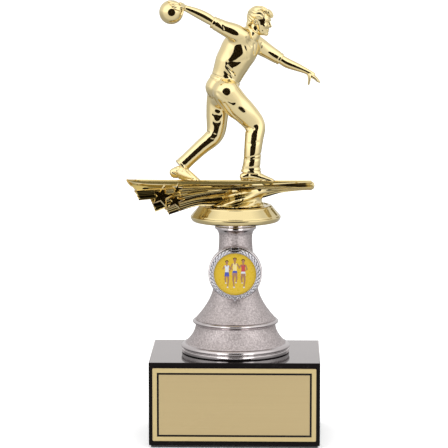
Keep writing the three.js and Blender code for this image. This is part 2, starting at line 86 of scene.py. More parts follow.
def makeCamera():
    data = bpy.data.cameras.new("trophyCamera")
    data.lens = studio["lens"]
    data.sensor_width = studio["sensor"]
    data.clip_start = studio["nearest"]
    data.clip_end = studio["farthest"]
    camera = bpy.data.objects.new("trophyCamera", data)
    bpy.context.scene.collection.objects.link(camera)
    camera.location = cameraAt
    camera.rotation_euler = (cameraTarget - cameraAt).to_track_quat("-Z", "Y").to_euler()
    bpy.context.scene.camera = camera


def makeTent():
    # a white tent round the object, while the camera itself sees plain white
    world = bpy.data.worlds.new("whiteTent")
    bpy.context.scene.world = world
    world.use_nodes = True
    tree = world.node_tree
    tree.nodes.clear()

    def ramp(value, stops):
        # stops as (where from -1 to 1, grey)
        lift = addNode(tree, "ShaderNodeMapRange", {"Value": value, "From Min": -1})
        node = addNode(tree, "ShaderNodeValToRGB", {"Fac": lift.outputs["Result"]})
        elements = node.color_ramp.elements
        for _ in stops[2:]:
            elements.new(0.5)
        for element, (place, grey) in zip(elements, stops):
            element.position = (place + 1) / 2
        for element, (place, grey) in zip(elements, stops):
            element.color = (grey, grey, grey, 1)
        return node.outputs["Color"]

    spot = addNode(tree, "ShaderNodeTexCoord").outputs["Generated"]
    ray = addNode(tree, "ShaderNodeVectorMath", {0: spot}, operation="NORMALIZE").outputs[0]
    lensWay = (cameraAt - cameraTarget).normalized()
    towards = addNode(tree, "ShaderNodeVectorMath", {0: ray, 1: lensWay}, operation="DOT_PRODUCT")
    height = addNode(tree, "ShaderNodeSeparateXYZ", {0: ray}).outputs["Z"]
    shade = addNode(tree, "ShaderNodeMix", data_type="RGBA", blend_type="MULTIPLY")
    shade.inputs["Factor"].default_value = 1
    tree.links.new(ramp(towards.outputs["Value"], studio["tentAcross"]), shade.inputs["A"])
    tree.links.new(ramp(height, studio["tentUpwards"]), shade.inputs["B"])
    tent = addNode(tree, "ShaderNodeBackground",
                   {"Color": shade.outputs["Result"], "Strength": studio["tent"]})
    seen = addNode(tree, "ShaderNodeBackground", {"Color": (1, 1, 1, 1)})
    isCamera = addNode(tree, "ShaderNodeLightPath").outputs["Is Camera Ray"]
    pick = addNode(tree, "ShaderNodeMixShader", {"Fac": isCamera, 1: tent.outputs[0], 2: seen.outputs[0]})
    addNode(tree, "ShaderNodeOutputWorld", {"Surface": pick.outputs[0]})


def makeCards():
    # matt cards that only reflections see

    def card(name, points, tones):
        material, tree, shader, where = newMaterial(name, Roughness=1.0, Specular_IOR_Level=0)
        wire(tree, shader, "Base Color", blendColour(tree, noise(tree, where, 40, 2), *tones))
        piece = showPiece(name, newMesh(name, points, [tuple(range(len(points)))], smooth=False), material)
        for ray in ("camera", "diffuse", "shadow", "transmission", "volume_scatter"):
            setattr(piece, "visible_" + ray, False)
        return piece

    angles = np.linspace(0, 2 * math.pi, studio["cardSides"], endpoint=False)
    ring = np.stack([np.cos(angles), np.sin(angles), 0 * angles], 1) * studio["cardRadius"] / mm
    dark = card("darkCard", ring, studio["darkCard"])
    aim = Vector(studio["cardAim"])
    way = (cameraAt - aim).normalized()
    dark.data.transform(way.to_track_quat("Z", "Y").to_matrix().to_4x4())
    for vert in dark.data.vertices:
        vert.co += aim + way * studio["cardDistance"]
    card("deckCard", studio["deckCard"], studio["oliveCard"])


def areaLight(name, at, aim, size, power, piece=None, colour=(1, 1, 1)):
    # a soft round light, or a panel that only the given piece sees, in its reflections as well
    data = bpy.data.lights.new(name, "AREA")
    data.shape = "RECTANGLE" if piece else "DISK"
    data.size, data.size_y = size
    data.energy = power
    data.color = colour
    light = bpy.data.objects.new(name, data)
    bpy.context.scene.collection.objects.link(light)
    light.location = at
    light.rotation_euler = (Vector(aim) - Vector(at)).to_track_quat("-Z", "Y").to_euler()
    if not piece:
        light.visible_glossy = False
        return
    light.visible_camera = False
    seen = bpy.data.collections.new(name + "Pieces")
    seen.objects.link(bpy.data.objects[piece])
    light.light_linking.receiver_collection = seen


def newMesh(name, points, faces, smooth=True, sharp=35):
    mesh = bpy.data.meshes.new(name)
    mesh.from_pydata([tuple(p) for p in np.asarray(points, float) * mm], [],
                     [tuple(map(int, f)) for f in faces])
    mesh.update()
    if smooth:
        mesh.shade_smooth()
        mesh.set_sharp_from_angle(angle=math.radians(sharp))
    return mesh


def showPiece(name, mesh, material, body=None, stands=()):
    piece = bpy.data.objects.new(name, mesh)
    bpy.context.scene.collection.objects.link(piece)
    if material is not None:
        mesh.materials.clear()
        mesh.materials.append(material)
    if body:
        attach(piece, body)
        if stands:
            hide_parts(*stands)
    return piece


# shader groups shared by the finishes
def newGroup(name, inputs, outputs):
    # inputs as name: plain value, or None for a vector
    group = bpy.data.node_groups.new(name, "ShaderNodeTree")
    for key, value in inputs.items():
        kind = "NodeSocketVector" if value is None else "NodeSocketFloat"
        socket = group.interface.new_socket(name=key, in_out="INPUT", socket_type=kind)
        if value is not None:
            socket.default_value = value
    for key, kind in outputs.items():
        group.interface.new_socket(name=key, in_out="OUTPUT", socket_type=kind)
    return group, addNode(group, "NodeGroupInput").outputs, addNode(group, "NodeGroupOutput")


def wire(tree, node, key, value):
    # links a socket to an input, or sets the input to a plain value
    if isinstance(value, bpy.types.NodeSocket):
        tree.links.new(value, node.inputs[key])
    else:
        node.inputs[key].default_value = value


def addNode(tree, kind, inputs=None, **settings):
    node = tree.nodes.new(kind)
    for key, value in settings.items():
        setattr(node, key, value)
    for key, value in (inputs or {}).items():
        wire(tree, node, key, value)
    return node


def noise(tree, where, scale, detail=3, roughness=0.5):
    inputs = {"Vector": where, "Scale": scale, "Detail": detail, "Roughness": roughness}
    return addNode(tree, "ShaderNodeTexNoise", inputs).outputs["Fac"]


def mapRange(tree, value, low, high, outLow, outHigh):
    inputs = {"Value": value, "From Min": low, "From Max": high, "To Min": outLow, "To Max": outHigh}
    return addNode(tree, "ShaderNodeMapRange", inputs).outputs["Result"]


def handledGloss():
    # roughness that wanders a little, as on a polished part that has been wiped and handled
    inputs = {"Vector": None, "Clean": 0.05, "Smudged": 0.12, "Patch": 60.0}
    group, start, end = newGroup("handledGloss", inputs, {"Roughness": "NodeSocketFloat"})
    patches = noise(group, start["Vector"], start["Patch"], 4, 0.6)
    wire(group, end, "Roughness", mapRange(group, patches, 0.42, 0.72, start["Clean"], start["Smudged"]))
    return group


def moulding():
    # the faint unevenness of a plated moulding, as a normal
    inputs = {"Vector": None, "Scale": 300.0, "Depth": 0.00002}
    group, start, end = newGroup("moulding", inputs, {"Normal": "NodeSocketVector"})
    height = noise(group, start["Vector"], start["Scale"], 2, 0.4)
    bump = addNode(group, "ShaderNodeBump", {"Height": height, "Distance": start["Depth"]})
    wire(group, end, "Normal", bump.outputs["Normal"])
    return group


def sandGrain():
    # the sandy texture of a moulded satin face: a height and a mask that peaks on the grains
    outputs = {"Height": "NodeSocketFloat", "Grain": "NodeSocketFloat"}
    group, start, end = newGroup("sandGrain", {"Vector": None, "Scale": 2600.0}, outputs)
    fine = noise(group, start["Vector"], start["Scale"], 5, 0.7)
    wire(group, end, "Height", fine)
    wire(group, end, "Grain", mapRange(group, fine, 0.35, 0.65, 0.0, 1.0))
    return group


groups = {"handledGloss": handledGloss(), "moulding": moulding(), "sandGrain": sandGrain()}
print("scene: shader groups ready")


def newMaterial(name, **plain):
    material = bpy.data.materials.new(name)
    material.use_nodes = True
    tree = material.node_tree
    shader = tree.nodes["Principled BSDF"]
    for key, value in plain.items():
        shader.inputs[key.replace("_", " ")].default_value = value
    where = addNode(tree, "ShaderNodeTexCoord").outputs["Object"]
    return material, tree, shader, where


def useGroup(tree, name, where, **values):
    node = addNode(tree, "ShaderNodeGroup", node_tree=groups[name])
    for key, value in {"Vector": where, **values}.items():
        wire(tree, node, key, value)
    return node.outputs


def blendColour(tree, factor, low, high):
    node = addNode(tree, "ShaderNodeMix", data_type="RGBA")
    for key, value in (("Factor", factor), ("A", low), ("B", high)):
        wire(tree, node, key, value)
    return node.outputs["Result"]


def bumped(tree, shader, height, depth):
    bump = addNode(tree, "ShaderNodeBump", {"Height": height, "Distance": depth})
    wire(tree, shader, "Normal", bump.outputs["Normal"])


def polish(tree, shader, where, clean, smudged, patch, scale, depth):
    # wandering gloss over a faintly uneven moulding
    gloss = useGroup(tree, "handledGloss", where, Clean=clean, Smudged=smudged, Patch=patch)
    wire(tree, shader, "Roughness", gloss["Roughness"])
    wire(tree, shader, "Normal", useGroup(tree, "moulding", where, Scale=scale, Depth=depth)["Normal"])


def brightGold():
    material, tree, shader, where = newMaterial("brightGold", Metallic=1.0)
    plated = blendColour(tree, noise(tree, where, 45, 2), (0.86, 0.70, 0.36, 1), (0.90, 0.76, 0.44, 1))
    # painted shade: this attribute darkens the base colour to olive, and above 1 to near black, standing in
    # for the dark reflections and shade in the streamer's channels, star faces and deck; on the disc it only
    # deepens the tone evenly
    paintedShadeAndTone = addNode(tree, "ShaderNodeAttribute", attribute_name="paintedShadeAndTone").outputs["Fac"]
    olive = blendColour(tree, mapRange(tree, paintedShadeAndTone, 0, 1, 0, 1), plated, (0.40, 0.30, 0.095, 1))
    nearBlackShade = blendColour(tree, mapRange(tree, paintedShadeAndTone, 1, 2, 0, 1), olive, (0.018, 0.012, 0.004, 1))
    wire(tree, shader, "Base Color", nearBlackShade)
    polish(tree, shader, where, 0.045, 0.10, 90.0, 320.0, 0.000025)
    return material


def satinPewter():
    # grained faces, with the edges and flanges left smooth: the "polished" attribute says where
    material, tree, shader, where = newMaterial("satinPewter", Metallic=1.0)
    polished = addNode(tree, "ShaderNodeAttribute", attribute_name="polished").outputs["Fac"]
    sand = useGroup(tree, "sandGrain", where, Scale=1150.0)
    grained = blendColour(tree, sand["Grain"], (0.33, 0.285, 0.28, 1), (0.66, 0.595, 0.59, 1))
    wire(tree, shader, "Base Color", blendColour(tree, polished, grained, (0.58, 0.53, 0.53, 1)))
    wire(tree, shader, "Roughness", mapRange(tree, polished, 0, 1, 0.43, 0.14))
    bumped(tree, shader, sand["Height"], mapRange(tree, polished, 0, 1, 0.00022, 0.000008))
    return material


def plainMetal(name, scale, detail, low, high, *finish):
    material, tree, shader, where = newMaterial(name, Metallic=1.0)
    wire(tree, shader, "Base Color", blendColour(tree, noise(tree, where, scale, detail), low, high))
    polish(tree, shader, where, *finish)
    return material


def blackMarble():
    material, tree, shader, where = newMaterial("blackMarble")
    cloud = noise(tree, where, 26, 8, 0.62)
    body = blendColour(tree, cloud, (0.0045, 0.0035, 0.0035, 1), (0.011, 0.009, 0.009, 1))
    # thin pale veins where a warped noise crosses its middle
    vein = noise(tree, where, 14, 10, 0.68)
    offset = addNode(tree, "ShaderNodeMath", {0: vein, 1: 0.5}, operation="SUBTRACT").outputs[0]
    width = addNode(tree, "ShaderNodeMath", {0: offset}, operation="ABSOLUTE").outputs[0]
    line = mapRange(tree, width, 0.0, 0.006, 0.10, 0.0)
    wire(tree, shader, "Base Color", blendColour(tree, line, body, (0.10, 0.09, 0.09, 1)))
    # the upright faces are honed, so they mirror far less than the top
    normal = addNode(tree, "ShaderNodeNewGeometry").outputs["Normal"]
    upwards = addNode(tree, "ShaderNodeSeparateXYZ", {0: normal}).outputs["Z"]
    wire(tree, shader, "Specular IOR Level", mapRange(tree, upwards, 0.3, 0.8, 0.03, 0.3))
    polish(tree, shader, where, 0.05, 0.13, 35.0, 30.0, 0.00004)
    return material


def brushedPlate():
    # tan gold lacquer over a finely brushed sheet
    material, tree, shader, where = newMaterial("brushedPlate", Metallic=0.15)
    stretch = addNode(tree, "ShaderNodeMapping", {"Vector": where, "Scale": (14, 1400, 1400)})
    brush = noise(tree, stretch.outputs["Vector"], 1.0, 3, 0.6)
    tint = blendColour(tree, brush, (0.40, 0.305, 0.148, 1), (0.435, 0.335, 0.168, 1))
    wire(tree, shader, "Base Color", tint)
    wire(tree, shader, "Roughness", mapRange(tree, brush, 0.3, 0.7, 0.40, 0.48))
    bumped(tree, shader, brush, 0.000012)
    return material


def printedInk(name, low, high, roughness=0.45, dots=900.0, mirror=0.5):
    material, tree, shader, where = newMaterial(name, Specular_IOR_Level=mirror)
    speck = noise(tree, where, dots, 3, 0.6)
    wire(tree, shader, "Base Color", blendColour(tree, speck, low, high))
    wire(tree, shader, "Roughness", mapRange(tree, speck, 0.3, 0.7, roughness - 0.06, roughness + 0.06))
    bumped(tree, shader, speck, 0.00001)
    return material


def blackFelt():
    material, tree, shader, where = newMaterial("blackFelt", Sheen_Weight=0.5, Sheen_Roughness=0.6)
    fuzz = noise(tree, where, 2400, 6, 0.75)
    wire(tree, shader, "Base Color",
         blendColour(tree, fuzz, (0.008, 0.008, 0.010, 1), (0.035, 0.035, 0.042, 1)))
    wire(tree, shader, "Roughness", mapRange(tree, fuzz, 0.3, 0.7, 0.85, 1.0))
    bumped(tree, shader, fuzz, 0.00025)
    return material


def foamTape():
    material, tree, shader, where = newMaterial("foamTape")
    cells = addNode(tree, "ShaderNodeTexVoronoi", {"Vector": where, "Scale": 3500}).outputs["Distance"]
    wire(tree, shader, "Base Color", blendColour(tree, cells, (0.70, 0.69, 0.66, 1), (0.84, 0.83, 0.80, 1)))
    wire(tree, shader, "Roughness", mapRange(tree, cells, 0, 1, 0.75, 0.95))
    bumped(tree, shader, cells, 0.00008)
    return material


def makeFloor():
    material, tree, shader, where = newMaterial("paleFloor", Roughness=0.6)
    tint = blendColour(tree, noise(tree, where, 30, 3), (0.94, 0.94, 0.94, 1), (0.96, 0.96, 0.96, 1))
    wire(tree, shader, "Base Color", tint)
    wire(tree, shader, "Emission Color", (1, 1, 1, 1))
    wire(tree, shader, "Emission Strength", 0.25)
    half = studio["floorWidth"] / 2 / mm
    corners = [(-half, -half, 0), (half, -half, 0), (half, half, 0), (-half, half, 0)]
    floor = showPiece("paleFloor", newMesh("paleFloor", corners, [(0, 1, 2, 3)], smooth=False), material)
    floor.visible_glossy = False


gold = brightGold()
pewter = satinPewter()
silver = plainMetal("brightSilver", 160, 2, (0.66, 0.64, 0.68, 1), (0.76, 0.75, 0.77, 1),
                    0.12, 0.22, 300.0, 900.0, 0.00003)
steel = plainMetal("zincSteel", 500, 4, (0.50, 0.51, 0.53, 1), (0.66, 0.66, 0.66, 1),
                   0.24, 0.42, 700.0, 2500.0, 0.00002)
stone = blackMarble()
plateGold = brushedPlate()
felt = blackFelt()
foam = foamTape()
foil = printedInk("yellowFoil", (0.51, 0.335, 0.011, 1), (0.56, 0.38, 0.018, 1), 0.3)
stripGold = printedInk("stripGold", (0.44, 0.34, 0.155, 1), (0.475, 0.37, 0.17, 1), 0.4, 500.0)
blackInk = printedInk("blackInk", (0.003, 0.002, 0.003, 1), (0.008, 0.006, 0.008, 1), 0.45, mirror=0.12)
print("scene: finishes ready")

bpy.context.scene.view_settings.view_transform = "Standard"
makeCamera()
makeTent()
makeFloor()
makeCards()
for name, values in studio["softboxes"].items():
    areaLight(name, *values)
print("scene: studio ready")

# sculpting with distances: limbs along curves, blended, then netted and settled onto the exact surface
def softTable(stations, perSpan=12, softening=10):
    knots = np.array(stations, float)
    knots = np.vstack([2 * knots[0] - knots[1], knots, 2 * knots[-1] - knots[-2]])
    t = np.linspace(0, 1, perSpan, endpoint=False)[:, None]
    rows = []
    for p0, p1, p2, p3 in zip(knots, knots[1:], knots[2:], knots[3:]):
        rows.append(0.5 * (2 * p1 + (p2 - p0) * t + (2 * p0 - 5 * p1 + 4 * p2 - p3) * t ** 2
                           + (3 * p1 - p0 - 3 * p2 + p3) * t ** 3))
    table = np.vstack(rows + [knots[-2:-1]])
    for _ in range(softening):
        table[1:-1] = (table[:-2] + 2 * table[1:-1] + table[2:]) / 4
    return table


def unit(vectors):
    return vectors / np.maximum(np.linalg.norm(vectors, axis=-1, keepdims=True), 1e-9)


farAway = 4.0  # mm, beyond this all distances are alike


class Limb:
    # an oval section swept through stations [x, y, z, depth, breadth]
    # a flat end is cut square, with a soft rim
    def __init__(self, stations, side=(0, 1, 0), flatEnd=False):
        table = softTable(stations)
        self.centre = table[:, :3]
        self.along = unit(np.gradient(self.centre, axis=0))
        across = np.array(side, float) - self.along * (self.along @ np.array(side, float))[:, None]
        self.across = unit(across)
        self.deep = np.cross(self.across, self.along)
        self.girth = table[:, 3:5]
        self.flatEnd = flatEnd
        reach = self.girth.max() + farAway
        self.low, self.high = self.centre.min(0) - reach, self.centre.max(0) + reach

    def distance(self, points):
        out = np.full(len(points), farAway)
        near = np.all((points > self.low) & (points < self.high), axis=1)
        for part in np.array_split(np.flatnonzero(near), 1 + near.sum() // 60000):
            if len(part):
                out[part] = self.within(points[part])
        return out

    def within(self, q):
        gaps = (self.centre ** 2).sum(1)[None] - 2 * q @ self.centre.T
        nearest = gaps.argmin(1)
        steps = np.linalg.norm(np.diff(self.centre, axis=0), axis=1)
        spacing = np.minimum(np.append(steps, steps[-1]), np.append(steps[0], steps))[nearest]
        lean = ((q - self.centre[nearest]) * self.along[nearest]).sum(1)
        place = np.clip(nearest + np.clip(lean / spacing, -1, 1), 0, len(self.centre) - 1.001)
        for _ in range(2):
            i = place.astype(int)
            f = (place - i)[:, None]
            centre = self.centre[i] * (1 - f) + self.centre[i + 1] * f
            lean = ((q - centre) * self.along[i]).sum(1)
            place = np.clip(place + lean / np.maximum(steps[i], 1e-6), 0, len(self.centre) - 1.001)
        i = place.astype(int)
        f = (place - i)[:, None]
        mix = lambda rows: rows[i] * (1 - f) + rows[i + 1] * f
        off = q - mix(self.centre)
        u, v, w = ((off * mix(rows)).sum(1) for rows in (self.deep, self.across, self.along))
        w = np.where((place > 0) & (place < len(self.centre) - 1.002), 0, w)
        a, b = mix(self.girth).T
        if self.flatEnd:
            w = np.where(w > 0, 0, w)
        e = np.minimum(a, b)
        k0 = np.sqrt((u / a) ** 2 + (v / b) ** 2 + (w / e) ** 2)
        k1 = np.sqrt((u / a ** 2) ** 2 + (v / b ** 2) ** 2 + (w / e ** 2) ** 2)
        d = k0 * (k0 - 1) / np.maximum(k1, 1e-6)
        d = np.where(k0 < 0.15, -np.minimum(a, b) * (1 - k0), d)
        if self.flatEnd:
            d = softMax(d, (q - self.centre[-1]) @ self.along[-1], 0.5)
        return np.minimum(d, farAway)


def softMin(a, b, reach):
    h = np.maximum(reach - np.abs(a - b), 0) / reach
    return np.minimum(a, b) - h ** 3 * reach / 6


def softMax(a, b, reach):
    return -softMin(-a, -b, reach)


def bead(points, centre, radii):
    # roughly the distance from an ellipsoid
    off = points - np.array(centre, float)
    r = np.array(radii, float)
    k0 = np.linalg.norm(off / r, axis=1)
    k1 = np.linalg.norm(off / r ** 2, axis=1)
    return np.where(k0 < 0.1, -r.min(), k0 * (k0 - 1) / np.maximum(k1, 1e-6))


def strokeGap(points, line):
    # how far each 2-D point is from a polyline
    best = np.full(len(points), 1e3)
    for a, b in zip(line, line[1:]):
        a, b = np.array(a, float), np.array(b, float)
        t = np.clip((points - a) @ (b - a) / ((b - a) @ (b - a)), 0, 1)
        best = np.minimum(best, np.linalg.norm(points - a - t[:, None] * (b - a), axis=1))
    return best


def netOf(distance, low, high, step):
    low, high = np.array(low, float), np.array(high, float)
    shape = np.ceil((high - low) / step).astype(int) + 1
    axes = [low[k] + step * np.arange(shape[k]) for k in range(3)]
    field = np.empty(shape)
    for i, x in enumerate(axes[0]):
        y, z = np.meshgrid(axes[1], axes[2], indexing="ij")
        field[i] = distance(np.stack([np.full(y.size, x), y.ravel(), z.ravel()], 1)).reshape(y.shape)
    inside = field < 0
    corners = [(i, j, k) for i in (0, 1) for j in (0, 1) for k in (0, 1)]
    part = lambda grid, c: grid[c[0]:shape[0] - 1 + c[0], c[1]:shape[1] - 1 + c[1], c[2]:shape[2] - 1 + c[2]]
    filled = sum(part(inside, c).astype(int) for c in corners)
    cells = np.argwhere((filled > 0) & (filled < 8))
    number = np.full(shape - 1, -1)
    number[tuple(cells.T)] = np.arange(len(cells))
    sums, hits = np.zeros((len(cells), 3)), np.zeros(len(cells))
    for a in corners:
        for axis in range(3):
            if a[axis]:
                continue
            b = tuple(v + (n == axis) for n, v in enumerate(a))
            fa, fb = (field[tuple((cells + np.array(c)).T)] for c in (a, b))
            cut = (fa < 0) != (fb < 0)
            t = (fa[cut] / (fa[cut] - fb[cut]))[:, None]
            sums[cut] += np.array(a) + t * (np.array(b) - np.array(a))
            hits[cut] += 1
    points = low + (cells + sums / hits[:, None]) * step
    quads = []
    for axis in range(3):
        one, two = (axis + 1) % 3, (axis + 2) % 3
        ahead = np.roll(inside, -1, axis)
        cut = inside != ahead
        for k in (one, two):
            cut[(slice(None),) * k + (0,)] = False
        for k in range(3):
            cut[(slice(None),) * k + (-1,)] = False
        edges = np.argwhere(cut)
        back = lambda k: np.eye(3, dtype=int)[k]
        ring = [number[tuple((edges - s).T)] for s in (back(one) + back(two), back(two), 0 * back(0),
                                                       back(one))]
        quad = np.stack(ring, 1)
        flip = ~inside[tuple(edges.T)]
        quad[flip] = quad[flip][:, ::-1]
        quads.append(quad)
    return points, np.vstack(quads)


def settle(points, distance, rounds=2, probe=0.04, limit=0.25):
    for _ in range(rounds):
        d = distance(points)
        slope = np.stack([distance(points + probe * e) - distance(points - probe * e) for e in np.eye(3)], 1)
        slope /= 2 * probe
        steep = np.maximum((slope ** 2).sum(1), 0.05)
        points = points - np.clip(d / steep, -limit, limit)[:, None] * slope
    return points


def sculpted(name, distance, low, high, step, lift, material, body, stands=()):
    points, quads = netOf(distance, low, high, step)
    points = settle(points, distance)
    points[:, 2] += lift
    mesh = newMesh(name, points, quads, sharp=180)
    return showPiece(name, mesh, material, body, stands)


# the bowler: x the way the bowler walks, y away from the viewer, z up from the soles, in millimetres
soles = boxOf("star_streamer")[1][2] + 0.3

bowlerSizes = {
    "bodyStep": 0.42,
    "fineStep": 0.24,
    "hipSide": (-0.25, 0.95, -0.1),
    "chestSide": (0.48, 0.82, -0.31),
    "torso": [[-8.2, 0, 46.5, 5.4, 6.4], [-7.8, 0, 51.4, 9.8, 8.8], [-5.4, 0, 58.4, 7.9, 7.6],
              [-2.2, 0, 66.2, 9.2, 9.2],
              [2.2, 0, 74.2, 10.4, 10.8], [5.6, 0, 80, 7.8, 10.4], [8, 0, 83.4, 4.4, 5.2]],
    "nearLeg": [[-5.2, -7.0, 50.8, 7.6, 7.4], [-0.6, -4.9, 44.4, 7.6, 6.8], [5.4, -3.6, 38.8, 6.7, 6.2],
                [10.8, -2, 31.8, 5.9, 4.9], [10.5, -3.6, 25, 5.3, 5], [9.8, -5, 18, 4.9, 4.8],
                [9.2, -5.2, 10, 4.9, 4.8],
                [8.7, -5.2, 5, 5.9, 5]],
    "farLeg": [[-9, 4.6, 49, 7.2, 6.6], [-10, 5, 43, 6.7, 6.4], [-10.6, 5, 36, 6.2, 6],
               [-11.8, 4.6, 25.6, 5.2, 5.2],
               [-19.2, 3.4, 18.8, 4.4, 4.4], [-26.2, 2.2, 12.4, 4.1, 4.1], [-31.2, 0.9, 7.7, 4.3, 4.2]],
    "nearFoot": [[4.6, -5.2, 2.8, 2.3, 2.4], [9, -5.9, 3.7, 3.2, 2.6], [15.5, -7.4, 2.3, 2.0, 2.7],
                 [20.6, -8.4, 1.2, 1.0, 1.9]],
    "farFoot": [[-35.2, 0.6, 4.1, 2.7, 2.3], [-31.4, -0.6, 4.7, 3.7, 2.6], [-26.4, -4.4, 3.1, 2.8, 2.6],
                [-21.4, -7.4, 1.2, 1.0, 1.9]],
    "nearSleeve": [[3.4, -7, 82, 5, 5], [-1, -9, 84.6, 5, 4.8], [-6.4, -9.8, 87, 4.1, 4],
                   [-13, -10, 90.4, 3.5, 3.4]],
    "farSleeve": [[9, 6.4, 78.6, 5, 5], [13.4, 9, 75.4, 4.8, 4.6], [18.6, 10.4, 72, 4.1, 4],
                  [25.4, 11, 67.8, 3.5, 3.4]],
    "neck": [[8.4, 0, 81.8, 3.6, 3.8], [12.2, 0.5, 88.4, 3.5, 3.6]],
    "collar": [[8.6, 0.1, 82.2, 5.0, 5.2], [10.2, 0.2, 84.6, 4.5, 4.6]],
    "nearArm": [[-9.4, -10, 88.6, 2.4, 2.4], [-12, -10, 90, 2.5, 2.5], [-16.4, -10, 92.8, 2.9, 2.8],
                [-22.5, -10.5, 95.8, 2.5, 2.4], [-28.2, -11.8, 98.2, 1.7, 1.6], [-31, -13.4, 99.6, 2, 1.6]],
    "ball": ((-35.7, -13, 95.9), 6.75),
    "farArm": [[22, 11, 70, 2.4, 2.4], [25, 11, 68.2, 2.6, 2.6], [28.9, 11.5, 65.7, 2.8, 2.7],
               [34.6, 11.5, 63.4, 2.3, 2.2], [40.3, 11.5, 60.9, 1.6, 1.5], [43.4, 11.5, 58.8, 1.8, 1.3]],
    "farFingers": [[[42.6, 11.9, 59.2, 1.1, 1], [45.2, 12.2, 57.3, 0.85, 0.8], [47.2, 12.3, 55, 0.65, 0.65]],
                   [[42.8, 11.2, 58.8, 1.0, 0.9], [45.3, 11.0, 57.2, 0.8, 0.75],
                    [47, 10.8, 55.3, 0.62, 0.62]],
                   [[42.8, 10.4, 58.4, 1.1, 1], [45, 10, 57, 0.8, 0.8], [46.2, 9.8, 55.6, 0.65, 0.65]],
                   [[41.4, 10.2, 59, 1, 0.9], [41.6, 9.4, 56.6, 0.8, 0.8], [41.2, 9.2, 54, 0.6, 0.6]]],
}

# folds pressed into the clothes on the near or the far side: line in x and z, depth and half width
clothFolds = [
    (-1, [(-4.6, 65.2), (-0.6, 60.6)], 0.6, 0.6), (-1, [(-5.6, 62.4), (-3.0, 59.4)], 0.5, 0.5),
    (-1, [(-4.5, 67.2), (0.4, 67.6), (4.6, 69)], 0.3, 1.2), (-1, [(6, 12.4), (13, 13.4)], 0.35, 0.8),
    (-1, [(6, 7.6), (13.6, 8.4)], 0.35, 0.8), (-1, [(-27.6, 6.0), (-23.0, 2.0)], 0.4, 0.42),
    (-1, [(-33.8, 7.4), (-30.2, 5.8)], 0.35, 0.45), (-1, [(-35.4, 4.6), (-33.2, 3.8)], 0.3, 0.4),
    (-1, [(10.4, 77.6), (10.5, 72.0)], 0.45, 0.5), (-1, [(6.2, 81.6), (8.6, 76.6)], 0.6, 0.6),
    (-1, [(-9.6, 50.6), (-5.4, 47.2), (-1.4, 45.4)], 0.35, 1.1), (-1, [(7.6, 21.6), (12.6, 22.6)], 0.2, 0.8),
    (-1, [(-14, 38), (-9.6, 36.8), (-5.5, 37.6)], 0.3, 0.9),
    (-1, [(-15, 33.6), (-10.6, 32.4), (-7, 33)], 0.3, 0.9),
    (-1, [(3.6, 80.6), (7, 70)], 0.3, 0.9),
    (-1, [(-5.8, 45), (-1.5, 38.6), (3.8, 33.4)], 0.45, 0.6), (-1, [(5.6, 30.6), (10.4, 30.2)], 0.45, 0.5),
    (-1, [(5.4, 28.6), (9, 28.8)], 0.35, 0.5), (-1, [(6, 13.4), (14.6, 15.8)], 0.3, 0.5),
    (-1, [(-16.8, 27.6), (-11.4, 25.8)], 0.45, 0.5), (-1, [(-17.6, 24.8), (-12.2, 22.8)], 0.35, 0.5),
    (1, [(-16.8, 27.6), (-11, 25.4)], 0.45, 0.5), (1, [(-13.6, 40), (-8.6, 43.2)], 0.35, 0.6),
    (1, [(-1, 64.6), (3.6, 61.8)], 0.45, 0.55), (1, [(0.4, 72), (5.6, 77)], 0.35, 0.8),
    (-1, [(-8.4, 91.6), (-6.6, 86.4)], 0.3, 0.5), (1, [(14.6, 77.4), (13.6, 72.4)], 0.3, 0.5),
]


def onLine(points, start, end):
    # how far along each point is on the line from start to end, in mm
    start, end = np.array(start, float), np.array(end, float)
    way = (end - start) / np.linalg.norm(end - start)
    return (points - start) @ way


